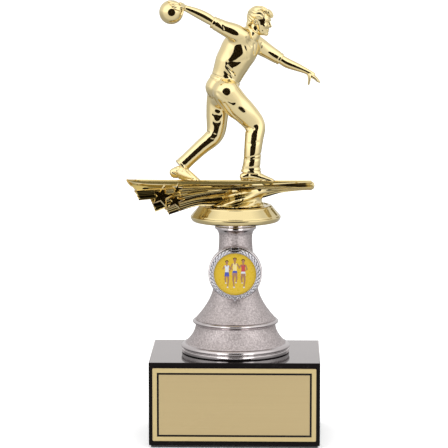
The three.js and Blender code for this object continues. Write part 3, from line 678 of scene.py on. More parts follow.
def bowlerBody():
    b = bowlerSizes
    hips = Limb(b["torso"][:4], b["hipSide"])
    chest = Limb(b["torso"][2:], b["chestSide"])
    legs = [Limb(b["nearLeg"], flatEnd=True), Limb(b["farLeg"], flatEnd=True)]
    feet = [Limb(b["nearFoot"]), Limb(b["farFoot"])]
    sleeves = [Limb(b["nearSleeve"], flatEnd=True), Limb(b["farSleeve"], flatEnd=True)]
    neck = Limb(b["neck"])
    collar = Limb(b["collar"], flatEnd=True)

    def distance(p):
        # belt: a band round the waist, between two pressed lines
        rise = onLine(p, (-6.2, 0, 55.6), (-4.4, 0, 61.2))
        waist = np.exp(-((rise - 2.6) / 0.42) ** 2) * 0.42 + np.exp(-((rise - 0.2) / 0.34) ** 2) * 0.28
        band = np.exp(-((rise - 1.4) / 1.3) ** 4) * 0.16
        trunk = softMin(hips.distance(p), chest.distance(p), 3.2) + waist - band
        for sleeve in sleeves:
            trunk = softMin(trunk, sleeve.distance(p), 3.0)
        lower = softMin(legs[0].distance(p), legs[1].distance(p), 0.9)
        cloth = softMin(trunk, lower, 2.2)
        cloth = softMin(cloth, collar.distance(p), 0.5)
        # hems: a stitched band at the end of each sleeve and trouser leg
        for limb, reach in ((sleeves[0], 1.5), (sleeves[1], 1.5), (legs[0], 1.7), (legs[1], 1.7)):
            back = (limb.centre[-1] - p) @ limb.along[-1]
            beside = np.linalg.norm(p - limb.centre[-1], axis=1) < limb.girth[-1].max() + 2.2
            cloth += np.where(beside, 0.28 * np.exp(-((back - reach) / 0.26) ** 2), 0)
        # shoes: an upper and a welt that stands proud
        d = softMin(cloth, neck.distance(p), 0.5)
        for foot in feet:
            upper = foot.distance(p)
            welt = softMax(upper - 0.32, p[:, 2] - 1.25, 0.25)
            heel, toe = foot.centre[0], foot.centre[-1]
            share = onLine(p, heel, toe) / np.linalg.norm(toe - heel)
            top = np.interp(share, np.linspace(0, 1, len(foot.centre)),
                            foot.centre[:, 2] + 0.55 * foot.girth[:, 0])
            # laces across the instep, a line round the sole and a pressed line at the heel
            laces = -0.16 * np.cos(share * 58) * (np.abs(share - 0.5) < 0.14) * (p[:, 2] > top)
            seam = 0.26 * np.exp(-((share - 0.2) / 0.022) ** 2)
            sole = np.interp(share, np.linspace(0, 1, len(foot.centre)),
                             foot.centre[:, 2] - 0.52 * foot.girth[:, 0])
            seam = seam + 0.24 * np.exp(-((p[:, 2] - sole) / 0.2) ** 2)
            d = softMin(d, softMin(upper + laces + seam, welt, 0.15), 0.35)
        flat = p[:, [0, 2]]
        for side, line, depth, width in clothFolds:
            low, high = np.min(line, 0) - 3 * width, np.max(line, 0) + 3 * width
            near = np.flatnonzero(np.all((flat > low) & (flat < high), axis=1) & (side * p[:, 1] > 0.5))
            if len(near):
                d[near] += depth * np.exp(-(strokeGap(flat[near], line) / width) ** 2)
        return softMax(d, -p[:, 2], 0.3)

    points = np.vstack([np.array(b[k], float)[:, :3] for k in ("nearLeg", "farLeg", "nearFoot", "farFoot",
                                                               "torso",
                                                              "nearSleeve", "farSleeve", "collar")])
    low, high = points.min(0) - [6, 9, 0], points.max(0) + [6, 9, 6]
    low[2] = -0.84
    return sculpted("bowlerBody", distance, low, high, b["bodyStep"], soles, gold, "topper",
                    ("bowler_body",))


def armPiece(name, limbs, blends, node, avoid=None):
    def distance(p):
        d = limbs[0].distance(p)
        for limb, reach in zip(limbs[1:], blends):
            d = softMin(d, limb.distance(p), reach)
        if avoid is not None:
            centre, radius = avoid
            d = softMax(d, radius + 0.12 - np.linalg.norm(p - np.array(centre), axis=1), 0.2)
        return d

    low = np.min([limb.low for limb in limbs], 0) + farAway - 1
    high = np.max([limb.high for limb in limbs], 0) - farAway + 1
    return sculpted(name, distance, low, high, bowlerSizes["fineStep"], soles, gold, "topper",
                    (node,))


def bowlerArms():
    b = bowlerSizes
    # the ball hand: a palm behind the ball and four fingers and a thumb that close over it
    centre, radius = np.array(b["ball"][0], float), b["ball"][1]
    palm = Limb([[-29.6, -13.0, 99.2, 1.6, 1.7], [-30.2, -15.2, 98.8, 1.3, 2.3],
                 [-31.0, -17.0, 98.8, 1.0, 2.5]])
    fingers = []
    for row, size in enumerate((0.66, 0.74, 0.76, 0.7)):
        reach = []
        for share in (0.0, 0.35, 0.7, 1.0):
            # from the knuckles at the side of the ball, over its front, to the fingertips
            across = 0.68 - 0.05 * row - (0.42 + 0.1 * row) * share
            up = 0.20 + 0.15 * row + (0.14 + 0.03 * row) * share
            way = np.array([across, -math.sqrt(1 - across ** 2 - up ** 2), up])
            reach.append([*(centre + way * (radius + size * 0.45)), size * (1 - 0.2 * share),
                          size * (1 - 0.2 * share)])
        fingers.append(Limb(reach))
    thumb = Limb([[-29.8, -13.4, 98.6, 1.0, 0.95], [-29.4, -15.6, 96.6, 0.85, 0.85],
                  [-30.0, -17.0, 94.4, 0.7, 0.7]])
    armPiece("ballArm", [Limb(b["nearArm"]), palm, thumb, *fingers], [1.4, 0.8, 0.6, 0.6, 0.6, 0.6],
             "ball_arm",
             b["ball"])
    armPiece("guideArm", [Limb(b["farArm"]), *(Limb(one) for one in b["farFingers"])], [0.7, 0.5, 0.7, 0.6],
             "guide_arm")


def bowlingBall():
    # a fine ball with three finger holes on its upper back
    centre, radius = bowlerSizes["ball"]
    mesh = bpy.data.meshes.new("bowlingBall")
    ball = bmesh.new()
    bmesh.ops.create_icosphere(ball, subdivisions=6, radius=radius * mm)
    for dx, dy in ((-0.16, 0.52), (0.14, 0.56), (0.0, 0.30)):
        way = Vector((dx, dy, 0.86)).normalized()
        for vert in ball.verts:
            angle = vert.co.angle(way)
            vert.co *= 1 - 0.22 / (1 + math.exp((angle - 0.115) / 0.012))
    bmesh.ops.translate(ball, verts=ball.verts, vec=(Vector(centre) + Vector((0, 0, soles))) * mm)
    ball.to_mesh(mesh)
    ball.free()
    mesh.shade_smooth()
    showPiece("bowlingBall", mesh, gold, "topper", ("bowling_ball",))


# the head: f forward, s to its own left, u up, round the middle of the skull
headPlace = {"middle": (13.6, 0.3, 90.3), "turn": 24, "nod": 9}


def headAxes():
    turn, nod = math.radians(headPlace["turn"]), math.radians(headPlace["nod"])
    forward = np.array([math.cos(turn) * math.cos(nod), -math.sin(turn) * math.cos(nod), -math.sin(nod)])
    left = np.array([math.sin(turn), math.cos(turn), 0.0])
    return np.stack([forward, left, np.cross(forward, left)])


def bowlerHead():
    axes = headAxes()
    middle = np.array(headPlace["middle"])

    def distance(world):
        p = (world - middle) @ axes.T
        f, s, u = p.T
        mirrored = np.stack([f, np.abs(s), u], 1)
        skull = bead(p, (-0.7, 0, 1.9), (6.4, 5.2, 5.7))
        face = bead(p, (1.7, 0, -1.8), (4.5, 4.1, 5.9))
        jaw = bead(p, (2.6, 0, -5.3), (3.1, 3.0, 2.3))
        chin = bead(p, (5.0, 0, -6.5), (1.2, 1.5, 1.1))
        d = softMin(skull, face, 1.8)
        d = softMin(softMin(d, jaw, 1.6), chin, 1.2)
        d = softMin(d, bead(mirrored, (4.2, 2.5, -1.9), (1.4, 1.3, 1.1)), 1.6)  # cheeks
        d = softMin(d, bead(mirrored, (5.1, 1.7, 1.35), (0.9, 1.7, 0.5)), 1.0)  # brows
        d = softMax(d, -bead(mirrored, (6.15, 1.75, 0.1), (1.0, 1.15, 0.72)), 0.7)  # eye sockets
        d = softMin(d, bead(mirrored, (4.75, 1.7, 0.0), (0.82, 0.95, 0.66)), 0.2)  # eyes
        lid = np.abs(np.linalg.norm((mirrored - [4.75, 1.7, 0.0]) / [1, 1.12, 0.86], axis=1) - 0.86) - 0.12
        lid = softMax(lid, -(mirrored[:, 2] - 0.12), 0.1)
        d = softMin(d, softMax(lid, 4.9 - f, 0.2), 0.15)
        nose = Limb([[5.4, 0, 1.1, 0.55, 0.5], [6.3, 0, -0.5, 0.6, 0.55], [6.9, 0, -1.9, 0.8, 0.75]],
                    side=(0, 1, 0))
        d = softMin(d, nose.distance(p), 0.8)
        d = softMin(d, bead(mirrored, (6.2, 0.65, -2.15), (0.6, 0.45, 0.45)), 0.35)  # nostril wings
        d = softMin(d, bead(p, (5.75, 0, -4.05), (0.62, 1.45, 0.34)), 0.35)  # lips
        d = softMin(d, bead(p, (5.65, 0, -4.75), (0.62, 1.2, 0.38)), 0.35)
        d += 0.22 * np.exp(-((u + 4.4) / 0.16) ** 2) * np.exp(-(s / 1.35) ** 4) * (f > 4)
        # ears
        ear = bead(mirrored, (-0.6, 4.55, -0.7), (1.25, 0.75, 1.9))
        ear = softMax(ear, -bead(mirrored, (-0.1, 5.3, -0.5), (0.7, 0.55, 1.15)), 0.25)
        d = softMin(d, ear, 0.35)
        # hair: a cap over the skull, combed back and down from a parting on the head's right
        line = 3.5 - 0.75 * np.maximum(0, np.abs(s) - 1.6) - 0.02 * s
        cap = bead(p, (-0.95, 0, 2.05), (6.85, 5.65, 6.15))
        nape = bead(p, (-3.7, 0, -3.0), (3.6, 4.7, 4.5))
        cap = softMin(cap, nape, 1.4)
        front = (f - 2.1) * 0.72 - (u - line) * 0.9
        side = (f + 1.0) * 0.95 - (u - 1.3) * 0.85
        edge = np.where(u > 1.6, front, np.minimum(side, 9))
        edge = np.maximum(edge, -(u + 5.4))
        cap = softMax(cap, edge * 0.75, 0.5)
        fringe = Limb([[1.5, -1.8, 7.4, 1.0, 1.7], [4.3, -1.0, 6.3, 1.05, 2.0], [5.9, 1.0, 4.6, 0.85, 1.6],
                       [5.7, 2.6, 3.0, 0.5, 0.9]], side=(0, 1, 0))
        cap = softMin(cap, fringe.distance(p), 0.9)
        comb = np.arctan2(u - 1.2 + 0.22 * f, s + 1.2) + 0.10 * np.sin(f * 0.9)
        strands = 0.24 * np.sin(comb * 13 + 0.3 * f) + 0.07 * np.sin(comb * 31 + f)
        parting = 0.34 * np.exp(-((s + 2.3 + 0.05 * f) / 0.28) ** 2) * (u > 3) * (f > -4)
        cap = cap + strands + parting
        d = softMin(d, cap, 0.25)
        return d

    # the neck, down into the collar
    neck = Limb([[8.6, 0.1, 81.4, 3.5, 3.7], [11.0, 0.3, 86.0, 3.3, 3.5], [12.6, 0.4, 89.4, 3.2, 3.4]])
    whole = lambda p: softMin(distance(p), neck.distance(p), 0.9)
    return sculpted("bowlerHead", whole, (3.5, -9.5, 78.5), (24.5, 9.5, 102.5), bowlerSizes["fineStep"],
                    soles, gold,
                    "topper")


bowlerBody()
print("scene: bowler's body sculpted")
bowlerHead()
bowlerArms()
bowlingBall()
print("scene: head, arms and ball sculpted")


# turned and cut pieces
def roundedLine(corners, segments=5):
    # corners as [radius, height, fillet], where fillets become short arcs
    points = []
    count = len(corners)
    for i, (r, z, fillet) in enumerate(corners):
        here = np.array([r, z], float)
        if fillet <= 0 or i in (0, count - 1):
            points.append(here)
            continue
        before, after = np.array(corners[i - 1][:2], float), np.array(corners[i + 1][:2], float)
        a, b = before - here, after - here
        la, lb = np.linalg.norm(a), np.linalg.norm(b)
        cut = min(fillet, 0.48 * la, 0.48 * lb)
        start, end = here + a / la * cut, here + b / lb * cut
        for t in np.linspace(0, 1, segments):
            points.append((1 - t) ** 2 * start + 2 * t * (1 - t) * here + t * t * end)
    return points


def turnedMesh(name, line, segments=160, marks=None):
    # a closed line of [radius, height] points turned about Z, where radius 0 closes on the axis
    line = [np.array(p, float) for p in line]
    points, rows = [], []
    for r, z in line:
        if r < 1e-6:
            rows.append([len(points)] * segments)
            points.append((0, 0, z))
        else:
            rows.append(list(range(len(points), len(points) + segments)))
            angles = 2 * math.pi * np.arange(segments) / segments
            points.extend(np.stack([r * np.cos(angles), r * np.sin(angles), np.full(segments, z)], 1))
    faces = []
    onAxis = line[0][0] < 1e-6
    pairs = list(zip(rows, rows[1:])) + ([] if onAxis else [(rows[-1], rows[0])])
    for low, high in pairs:
        for i in range(segments):
            j = (i + 1) % segments
            face = [low[i], low[j], high[j], high[i]]
            face = [v for n, v in enumerate(face) if v not in face[:n]]
            if len(face) > 2:
                faces.append(face)
    mesh = newMesh(name, points, faces)
    if marks is not None:
        values = []
        for (r, _), mark in zip(line, marks):
            values.extend([mark] * (1 if r < 1e-6 else segments))
        mesh.attributes.new("polished", "FLOAT", "POINT").data.foreach_set("value",
                                                                           np.array(values, np.float32))
    return mesh


def facing(mesh):
    # normals outwards on a closed mesh
    work = bmesh.new()
    work.from_mesh(mesh)
    bmesh.ops.remove_doubles(work, verts=work.verts, dist=1e-7)
    bmesh.ops.recalc_face_normals(work, faces=work.faces)
    work.to_mesh(mesh)
    work.free()
    return mesh


def combined(mesh, others, way="UNION"):
    # joins or cuts closed meshes into the first one
    owner = bpy.data.objects.new("whole", mesh)
    bpy.context.scene.collection.objects.link(owner)
    helpers = []
    for other in others:
        helper = bpy.data.objects.new("part", other)
        bpy.context.scene.collection.objects.link(helper)
        helpers.append(helper)
        step = owner.modifiers.new("step", "BOOLEAN")
        step.operation = way
        step.solver = "MANIFOLD"
        step.object = helper
    graph = bpy.context.evaluated_depsgraph_get()
    result = bpy.data.meshes.new_from_object(owner.evaluated_get(graph))
    for thing in (owner, *helpers):
        bpy.data.objects.remove(thing)
    return result


def smoothAgain(mesh, sharp=35):
    mesh.shade_smooth()
    mesh.set_sharp_from_angle(angle=math.radians(sharp))
    return mesh


def bevelledBox(name, low, high, edge, segments=3, corner=None):
    # a box with rounded edges, and rounder upright corners if asked for
    box = bmesh.new()
    bmesh.ops.create_cube(box, size=1)
    low, high = np.array(low, float), np.array(high, float)
    for vert in box.verts:
        vert.co = Vector((low + (np.array(vert.co) + 0.5) * (high - low)) * mm)
    if corner:
        axis, size = corner
        across = [e for e in box.edges if abs((e.verts[0].co - e.verts[1].co).normalized()[axis]) > 0.9]
        bmesh.ops.bevel(box, geom=across, offset=size * mm, segments=4, profile=0.5, affect="EDGES")
    sharp = [e for e in box.edges if e.calc_face_angle(0) > 0.6]
    bmesh.ops.bevel(box, geom=sharp, offset=edge * mm, segments=segments, profile=0.6, affect="EDGES")
    mesh = bpy.data.meshes.new(name)
    box.to_mesh(mesh)
    box.free()
    return smoothAgain(mesh, 40)


# base
baseSizes = {"stoneEdge": 0.55, "plateEdge": 0.16, "plateCorner": 0.7, "lineInset": 2.5, "lineWidth": 1.1,
             "inkRise": 0.03, "feltCell": 1.6}


def stoneBase():
    low, high = boxOf("stone_block")
    block = bevelledBox("stoneBlock", low, high, baseSizes["stoneEdge"])
    boreRadius, counterRadius, counterDepth = 3.2, 12.0, 13.0
    bore = turnedMesh("bore",
                      [(0, low[2] - 5), (boreRadius, low[2] - 5), (boreRadius, high[2] + 5),
                       (0, high[2] + 5)], 48)
    counter = turnedMesh("counter", [(0, low[2] - 6), (counterRadius, low[2] - 6),
                                     (counterRadius, low[2] + counterDepth), (0, low[2] + counterDepth)], 64)
    cut = smoothAgain(combined(block, [bore, counter], "DIFFERENCE"), 40)
    # the six large faces stay flat, and only the eased edges are smooth
    for face in cut.polygons:
        face.use_smooth = face.area < 1e-4
    showPiece("stoneBlock", cut, stone, "base", ("stone_block",))


def feltSheet():
    low, high = boxOf("felt_pad")
    cell = baseSizes["feltCell"]
    columns, rows = (int((high[k] - low[k]) / cell) for k in (0, 1))
    rng = np.random.default_rng(7)
    points, faces = [], []
    for level, z in ((0, low[2]), (1, high[2])):
        for j in range(rows + 1):
            for i in range(columns + 1):
                x = low[0] + (high[0] - low[0]) * i / columns
                y = low[1] + (high[1] - low[1]) * j / rows
                rim = i in (0, columns) or j in (0, rows)
                fray = rng.uniform(-0.12, 0.12, 2) if rim else (0, 0)
                lift = rng.uniform(0, 0.12) if level == 0 else -rng.uniform(0, 0.08)
                points.append((x + fray[0] * 0.8, y + fray[1] * 0.8,
                               z + lift + (0.22 if rim and level == 0 else 0)))
    layer = (columns + 1) * (rows + 1)
    at = lambda i, j, level: level * layer + j * (columns + 1) + i
    for j in range(rows):
        for i in range(columns):
            faces.append((at(i, j, 0), at(i, j + 1, 0), at(i + 1, j + 1, 0), at(i + 1, j, 0)))
            faces.append((at(i, j, 1), at(i + 1, j, 1), at(i + 1, j + 1, 1), at(i, j + 1, 1)))
    rim = ([(i, 0) for i in range(columns)] + [(columns, j) for j in range(rows)]
           + [(i, rows) for i in range(columns, 0, -1)] + [(0, j) for j in range(rows, 0, -1)])
    for (i, j), (k, m) in zip(rim, rim[1:] + rim[:1]):
        faces.append((at(i, j, 0), at(k, m, 0), at(k, m, 1), at(i, j, 1)))
    sheet = showPiece("feltSheet", newMesh("feltSheet", points, faces, sharp=60), felt, "base",
                      ("felt_pad",))


def frontPlate():
    low, high = boxOf("engraving_plate")
    b = baseSizes
    face = bevelledBox("frontPlate", low, high, b["plateEdge"], corner=(1, b["plateCorner"]))
    showPiece("frontPlate", face, plateGold, "base", ("engraving_plate",))
    tapeLow, tapeHigh = boxOf("plate_tape")
    tape = bevelledBox("plateTape", tapeLow, tapeHigh, 0.1, corner=(1, 0.5))
    showPiece("plateTape", tape, foam, "base", ("plate_tape",))
    # the printed line, and the paler strip of lacquer outside it
    inset, width = b["lineInset"], b["lineWidth"]
    y = low[1]

    def frameMesh(name, outer, inner, rise, back):
        points, faces = [], []
        for depth in (y - rise, y + back):
            for cut in (outer, inner):
                points.extend([(low[0] + cut, depth, low[2] + cut), (high[0] - cut, depth, low[2] + cut),
                               (high[0] - cut, depth, high[2] - cut), (low[0] + cut, depth, high[2] - cut)])
        for k in range(4):
            n = (k + 1) % 4
            faces += [(k, n, 4 + n, 4 + k), (8 + k, 12 + k, 12 + n, 8 + n), (k, 8 + k, 8 + n, n),
                      (4 + k, 4 + n, 12 + n, 12 + k)]
        return facing(newMesh(name, points, faces, smooth=False))

    showPiece("printedLine", frameMesh("printedLine", inset, inset + width, b["inkRise"], 0.1), blackInk,
              "base")
    showPiece("paleStrip", frameMesh("paleStrip", b["plateEdge"] + 0.1, inset, b["inkRise"] * 0.5, 0.1),
              stripGold,
              "base")


# riser
riserSizes = {
    "foot": 5.2, "cove": 10.4, "lip": 3.6, "bell": 18.4, "neck": 28, "collar": 9.1,
    "footRadius": 30.9, "coveRadius": 22.8, "lipRadius": 24.5, "bellTopRadius": 12.7, "neckRadius": 9.4,
    "collarRadius": 11.8, "wall": 2.4, "deck": 4, "seatHeight": 47, "seatRadius": 15.2, "seatFace": 15.1,
    "seatBack": 3,
}


def riserOutline():
    # outer line with how polished each point is: flanges and lips are smooth, the long faces are grained
    s = riserSizes
    line, marks = [], []

    def put(points, mark):
        for p in points:
            line.append(p)
            marks.append(mark)

    foot = [[28.0, 0, 0], [30.6, 0, 0.3], [30.6, 1.9, 0.35], [30.1, 2.25, 0.15], [30.1, 2.55, 0.15],
            [s["footRadius"], 2.9, 0.25],
            [s["footRadius"], 4.1, 0.6], [30.0, 4.9, 0.5], [28.9, 5.0, 0.0]]
    put(roundedLine(foot, 6), 1.0)
    put([(28.6, 5.15)], 0.4)
    for t in np.linspace(0.03, 1, 26):
        put([(s["coveRadius"] + (28.7 - s["coveRadius"]) * (1 - t) ** 1.9, s["foot"] + t * s["cove"])], 0.0)
    z = s["foot"] + s["cove"]
    lip = [[s["coveRadius"], z, 0], [s["coveRadius"] - 0.5, z + 0.35, 0.2],
           [s["lipRadius"] - 1.2, z + 0.95, 0.4],
           [s["lipRadius"] - 0.1, z + 1.3, 0.5], [s["lipRadius"], z + 2.3, 0.6],
           [s["lipRadius"] - 1.0, z + 3.0, 0.4],
           [s["lipRadius"] - 1.7, z + 3.1, 0]]
    put(roundedLine(lip, 6)[1:], 1.0)
    z += s["lip"]
    for t in np.linspace(0.0, 1, 36):
        r = s["bellTopRadius"] + (s["lipRadius"] - 1.5 - s["bellTopRadius"]) * (1 - t) ** 1.66
        put([(r, z - 0.35 + t * (s["bell"] + 0.35))], 0.0)
    z += s["bell"]
    for t in np.linspace(0.04, 1, 34):
        r = s["neckRadius"] + (s["bellTopRadius"] - s["neckRadius"]) * (1 - t) ** 1.6
        put([(r, z + t * s["neck"])], 0.0)
    z += s["neck"]
    top = z + s["collar"]
    collar = [[s["neckRadius"], z, 0], [s["neckRadius"] + 0.15, z + 2.2, 1.0],
              [s["neckRadius"] + 0.9, z + 3.9, 0.8],
              [s["collarRadius"] - 0.6, z + 4.9, 0.4], [s["collarRadius"], z + 5.2, 0.3],
              [s["collarRadius"], z + 6.6, 0.3], [s["collarRadius"] - 0.5, z + 6.9, 0.2],
              [s["collarRadius"] - 0.5, top, 0.2]]
    smooth = roundedLine(collar, 5)[1:]
    put(smooth[:6], 0.0)
    put(smooth[6:], 1.0)
    return line, marks


def riserPiece():
    s = riserSizes
    base = boxOf("riser_shell")[0][2]
    line, marks = riserOutline()
    top = line[-1][1]
    roof = top - s["deck"]
    line.append((s["collarRadius"] - 1.2, top))
    marks.append(1.0)
    line.append((3.3, top))
    marks.append(1.0)
    line.append((3.3, roof))
    marks.append(0.0)
    inner = [(s["neckRadius"] - s["wall"], roof)]
    for r, z in reversed(line[:-3]):
        if 5.4 < z < roof - 1.5:
            inner.append((r - s["wall"], z))
    inner.append((26.2, 5.0))
    inner.append((26.2, 0.0))
    line += inner
    marks += [0.0] * len(inner)
    line = [(r, z + base) for r, z in line]
    shell = turnedMesh("riserShell", line, 180, marks)
    seat = [[0, s["seatBack"], 0], [s["seatRadius"] - 2.6, s["seatBack"], 0],
            [s["seatRadius"], s["seatBack"] + 5, 1.5],
            [s["seatRadius"], s["seatFace"], 0.7], [0, s["seatFace"], 0]]
    line = roundedLine(seat, 6)
    boss = turnedMesh("boss", line, 120, [0.0 if r > 12 and z < s["seatFace"] - 1 else 1.0 for r, z in line])
    # turned to face the front
    for vert in boss.vertices:
        x, y, z = vert.co
        vert.co = (x, -z, y + (base + s["seatHeight"]) * mm)
    boss.update()
    hollow = turnedMesh("hollow", [(0, base + 20)] + [(r - s["wall"], z + base) for r, z in riserOutline()[0]
                                                    if 20 < z < roof - 1.5] + [(0, base + roof - 1.6)], 120)
    boss = combined(facing(boss), [facing(hollow)], "DIFFERENCE")
    whole = smoothAgain(combined(facing(shell), [boss]), 30)
    showPiece("riserShell", whole, pewter, "riser", ("riser_shell",))


# disc
def discPiece():
    low, _ = boxOf("topper_disc")
    z = low[2]
    line = roundedLine([
        [9.0, 0.0, 0], [22.6, 0.0, 0.2], [24.2, 0.0, 0.5], [25.1, 0.9, 0.5], [25.65, 2.3, 0.4],
        [25.6, 3.0, 0.3],
        [25.0, 3.35, 0.2], [24.75, 3.9, 0.3], [21.1, 8.1, 0.6], [20.9, 8.6, 0.3], [20.1, 9.1, 0.4],
        [18.6, 9.1, 0.4],
        [18.0, 8.7, 0.4], [15.4, 8.7, 0.3], [14.6, 9.1, 0], [3.3, 9.1, 0], [3.3, 5.0, 0], [8.0, 4.8, 0],
        [8.0, 0.0, 0],
    ], 6)
    # the hollow below, between the boss and the wall
    wall = [(8.0, 0.0), (8.0, 6.6), (18.6, 6.6), (22.3, 3.2), (22.1, 0.0)]
    outer = [p for p in line[1:-2]]
    points = [(r, h + z) for r, h in outer] + [(r, h + z) for r, h in wall]
    mesh = facing(turnedMesh("goldDisc", points, 180))
    # its plating is a little deeper in tone than the figure's
    tone = mesh.attributes.new("paintedShadeAndTone", "FLOAT", "POINT")
    tone.data.foreach_set("value", [0.28] * len(mesh.vertices))
    showPiece("goldDisc", smoothAgain(mesh, 30), gold, "topper", ("topper_disc",))


stoneBase()
feltSheet()
frontPlate()
print("scene: base made")
riserPiece()
discPiece()
print("scene: riser and disc made")
for node in ("flat_washer", "lock_washer", "clamp_nut", "captive_nut"):
    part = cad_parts[node]
    part.data.materials.clear()
    part.data.materials.append(steel)


# streamer: a fan of channelled flutes on each side, stars at its ragged end, and a neck below
streamerSizes = {
    # ridges between the flutes, ragged end to tip: x, distance out from the middle, height from the deck
    "ridges": [
        [[-62, 2, 1.2], [-54, 8.6, 0.4], [-40, 11, 0], [0, 11, 0], [24, 7.2, 0.3], [43, 2.2, 0.9]],
        [[-55.3, 14, -2.8], [-31, 13.4, -1.3], [0, 12, -0.4], [20, 8.2, -0.3], [34, 5.2, -1.5],
         [43.8, 2.8, -1.9]],
        [[-54.1, 13.4, -8.1], [-29.9, 12.8, -5.7], [-6.9, 11.4, -2.3], [15, 9, -1.4], [34, 4.8, -2.3],
         [43.4, 2.6, -2.5]],
        [[-45.1, 11, -14.9], [-25.5, 10, -8], [-5.8, 9, -4.7], [15, 7.4, -3.2], [34, 4.0, -3.0],
         [43, 2.2, -3.0]],
        [[-37.3, 8, -16.8], [-22, 7.8, -12.1], [-12, 7.8, -11.9], [0, 6, -11.2], [15, 4, -7.8],
         [25.2, 3, -4.9], [34, 2.6, -3.9],
         [42.6, 1.8, -3.5]],
    ],
    # where each flute is cut off at its ragged end, at its upper and lower ridge, and how deep it is
    "flutes": [(-62, -55.3, 1.3), (-56.8, -54.1, 0.9), (-47.7, -45.1, 0.8), (-39.9, -37.3, 0.7)],
    "ridgeRise": 0.45, "ridgeWidth": 0.55, "endRise": 0.35, "stations": 90, "across": 34, "core": 1.2,
    "stars": [((-41.3, 13.1, -5.9), 7.4, 0.25), ((-33.6, 11.8, -8.8), 5.7, 0.12),
              ((-32.4, 13.4, -1.7), 3.5, 0.1)],
    # the end lengths and the tip mark on the next line say where flute faces are painted near black, as
    # painted shade
    "ribs": 5, "ribDepth": 0.07, "blackEndLengths": (0, 10.5, 8.0, 0), "topRim": 0.45, "tipBlackFrom": 25,
    "starWaist": 0.42, "starRim": 1.9, "starProud": 1.2, "starDepth": 2.6, "starTilt": -0.12,
    "tip": ((43.0, 0, -1.4), (1.7, 2.6, 2.3)),
    "flare": 11.5, "flarePower": 2.2, "channelDepth": 0.75, "tuck": 3.4,
    "neck": [[0, -12.2, 0], [15.2, -12.2, 0], [15.0, -11.6, 0.3], [14.0, -10.8, 0.8], [13.3, -9.0, 2.0],
             [13.4, -6.4, 2.0], [14.0, -4.4, 1.2], [12.0, -2.6, 0], [0, -2.6, 0]],
}


def ridgeCurve(points):
    # the x of a smooth curve through the points rises steadily, so the curve can be read off by x
    table = softTable([[*p, 0, 0] for p in points], 16, 4)[:, :3]
    return lambda x: np.array([x, np.interp(x, table[:, 0], table[:, 1]),
                               np.interp(x, table[:, 0], table[:, 2])])


def fluteMesh(number, front):
    s = streamerSizes
    upper, lower = (ridgeCurve(s["ridges"][number + k]) for k in (0, 1))
    top, bottom, hollow = s["flutes"][number]
    last = number == len(s["flutes"]) - 1
    ends = s["ridges"][number][-1][0], s["ridges"][number + 1][-1][0]
    points, paintedShadeAndTone, columns = [], [], s["across"] + 1
    for i in range(s["stations"] + 1):
        share = (i / s["stations"]) ** 1.15
        u = upper(top + (ends[0] - top) * share)
        v = lower(bottom + (ends[1] - bottom) * share)
        ahead = np.array([1.0, 0, 0])
        span = v - u
        out = np.cross(span, ahead)
        out = out / np.linalg.norm(out) * (1 if out @ np.array([0, 1, 0]) > 0 else -1)
        height = np.linalg.norm(span)
        fade = 1 - 0.6 * share ** 3
        toEnd = (top + (ends[0] - top) * share - top)
        for j in range(columns):
            t = j / s["across"]
            away = min(t, 1 - t) * height
            # one wide channel next to a narrow one, with a fine rib between
            wide = 0.62
            if t < wide:
                inner = math.sin(math.pi * t / wide)
            else:
                inner = 0.75 * math.sin(math.pi * (t - wide) / (1 - wide))
            lift = -hollow * fade * inner * min(1, height / 4)
            ridge = math.exp(-(away / s["ridgeWidth"]) ** 2) * min(1, height / 3)
            rim = max(ridge, math.exp(-(toEnd / 0.45) ** 2))
            ribbed = s["ribDepth"] * math.sin(2 * math.pi * s["ribs"] * t) * min(1, height / 4) * (1 - rim)
            points.append(u + span * t + out * (lift + ribbed + s["ridgeRise"] * ridge
                                                + s["endRise"] * math.exp(-(toEnd / 0.45) ** 2)))
            # painted shade: channel faces are painted olive, and faces near the ragged end of some flutes,
            # and on the top flute past the tip mark, are painted near black
            paintedBlack = toEnd < s["blackEndLengths"][number] and away > 0.45 and toEnd > 0.7
            if number == 0 and points[-1][0] > s["tipBlackFrom"]:
                paintedBlack = paintedBlack or (away > 0.4 and i < s["stations"] - 2)
            paintedShadeAndTone.append(1.9 if paintedBlack else (0.6 if number else 0.95) * (1 - rim))
        lap = 0 if last else 0.4
        points.append(np.array([v[0], v[1] - lap, v[2] - lap]))
        points.append(np.array([v[0], -s["core"], v[2] - 2 * lap]))
        points.append(np.array([u[0], -s["core"], u[2]]))
        # the deck: a rim along its edge, and a field inside it darkened with painted shade
        edge = min(0.9, max(u[1] - 0.4, 0.1))
        rise = s["topRim"] if number == 0 else 0
        points.append(np.array([u[0], u[1] - edge, u[2]]))
        points.append(np.array([u[0], u[1] - edge * 0.75, u[2] + rise]))
        points.append(np.array([u[0], u[1] - edge * 0.25, u[2] + rise]))
        paintedShadeAndTone += [0, 0, 0.9, 0.9, 0, 0]
    size = columns + 6
    faces = []
    for i in range(s["stations"]):
        for j in range(size):
            k = (j + 1) % size
            faces.append((i * size + j, (i + 1) * size + j, (i + 1) * size + k, i * size + k))
    # the ends are fans round a middle point, so that they close
    for row in (0, s["stations"]):
        ring = list(range(row * size, (row + 1) * size))
        middle = np.mean([points[r] for r in ring], 0)
        points.append(middle)
        paintedShadeAndTone.append(0)
        for a, b in zip(ring, ring[1:] + ring[:1]):
            faces.append((a, b, len(points) - 1))
    points = np.array(points)
    points[:, 1] *= -front
    points[:, 2] += deckHeight
    shaded.extend(zip(points, paintedShadeAndTone))
    return facing(newMesh("flute", points, faces))


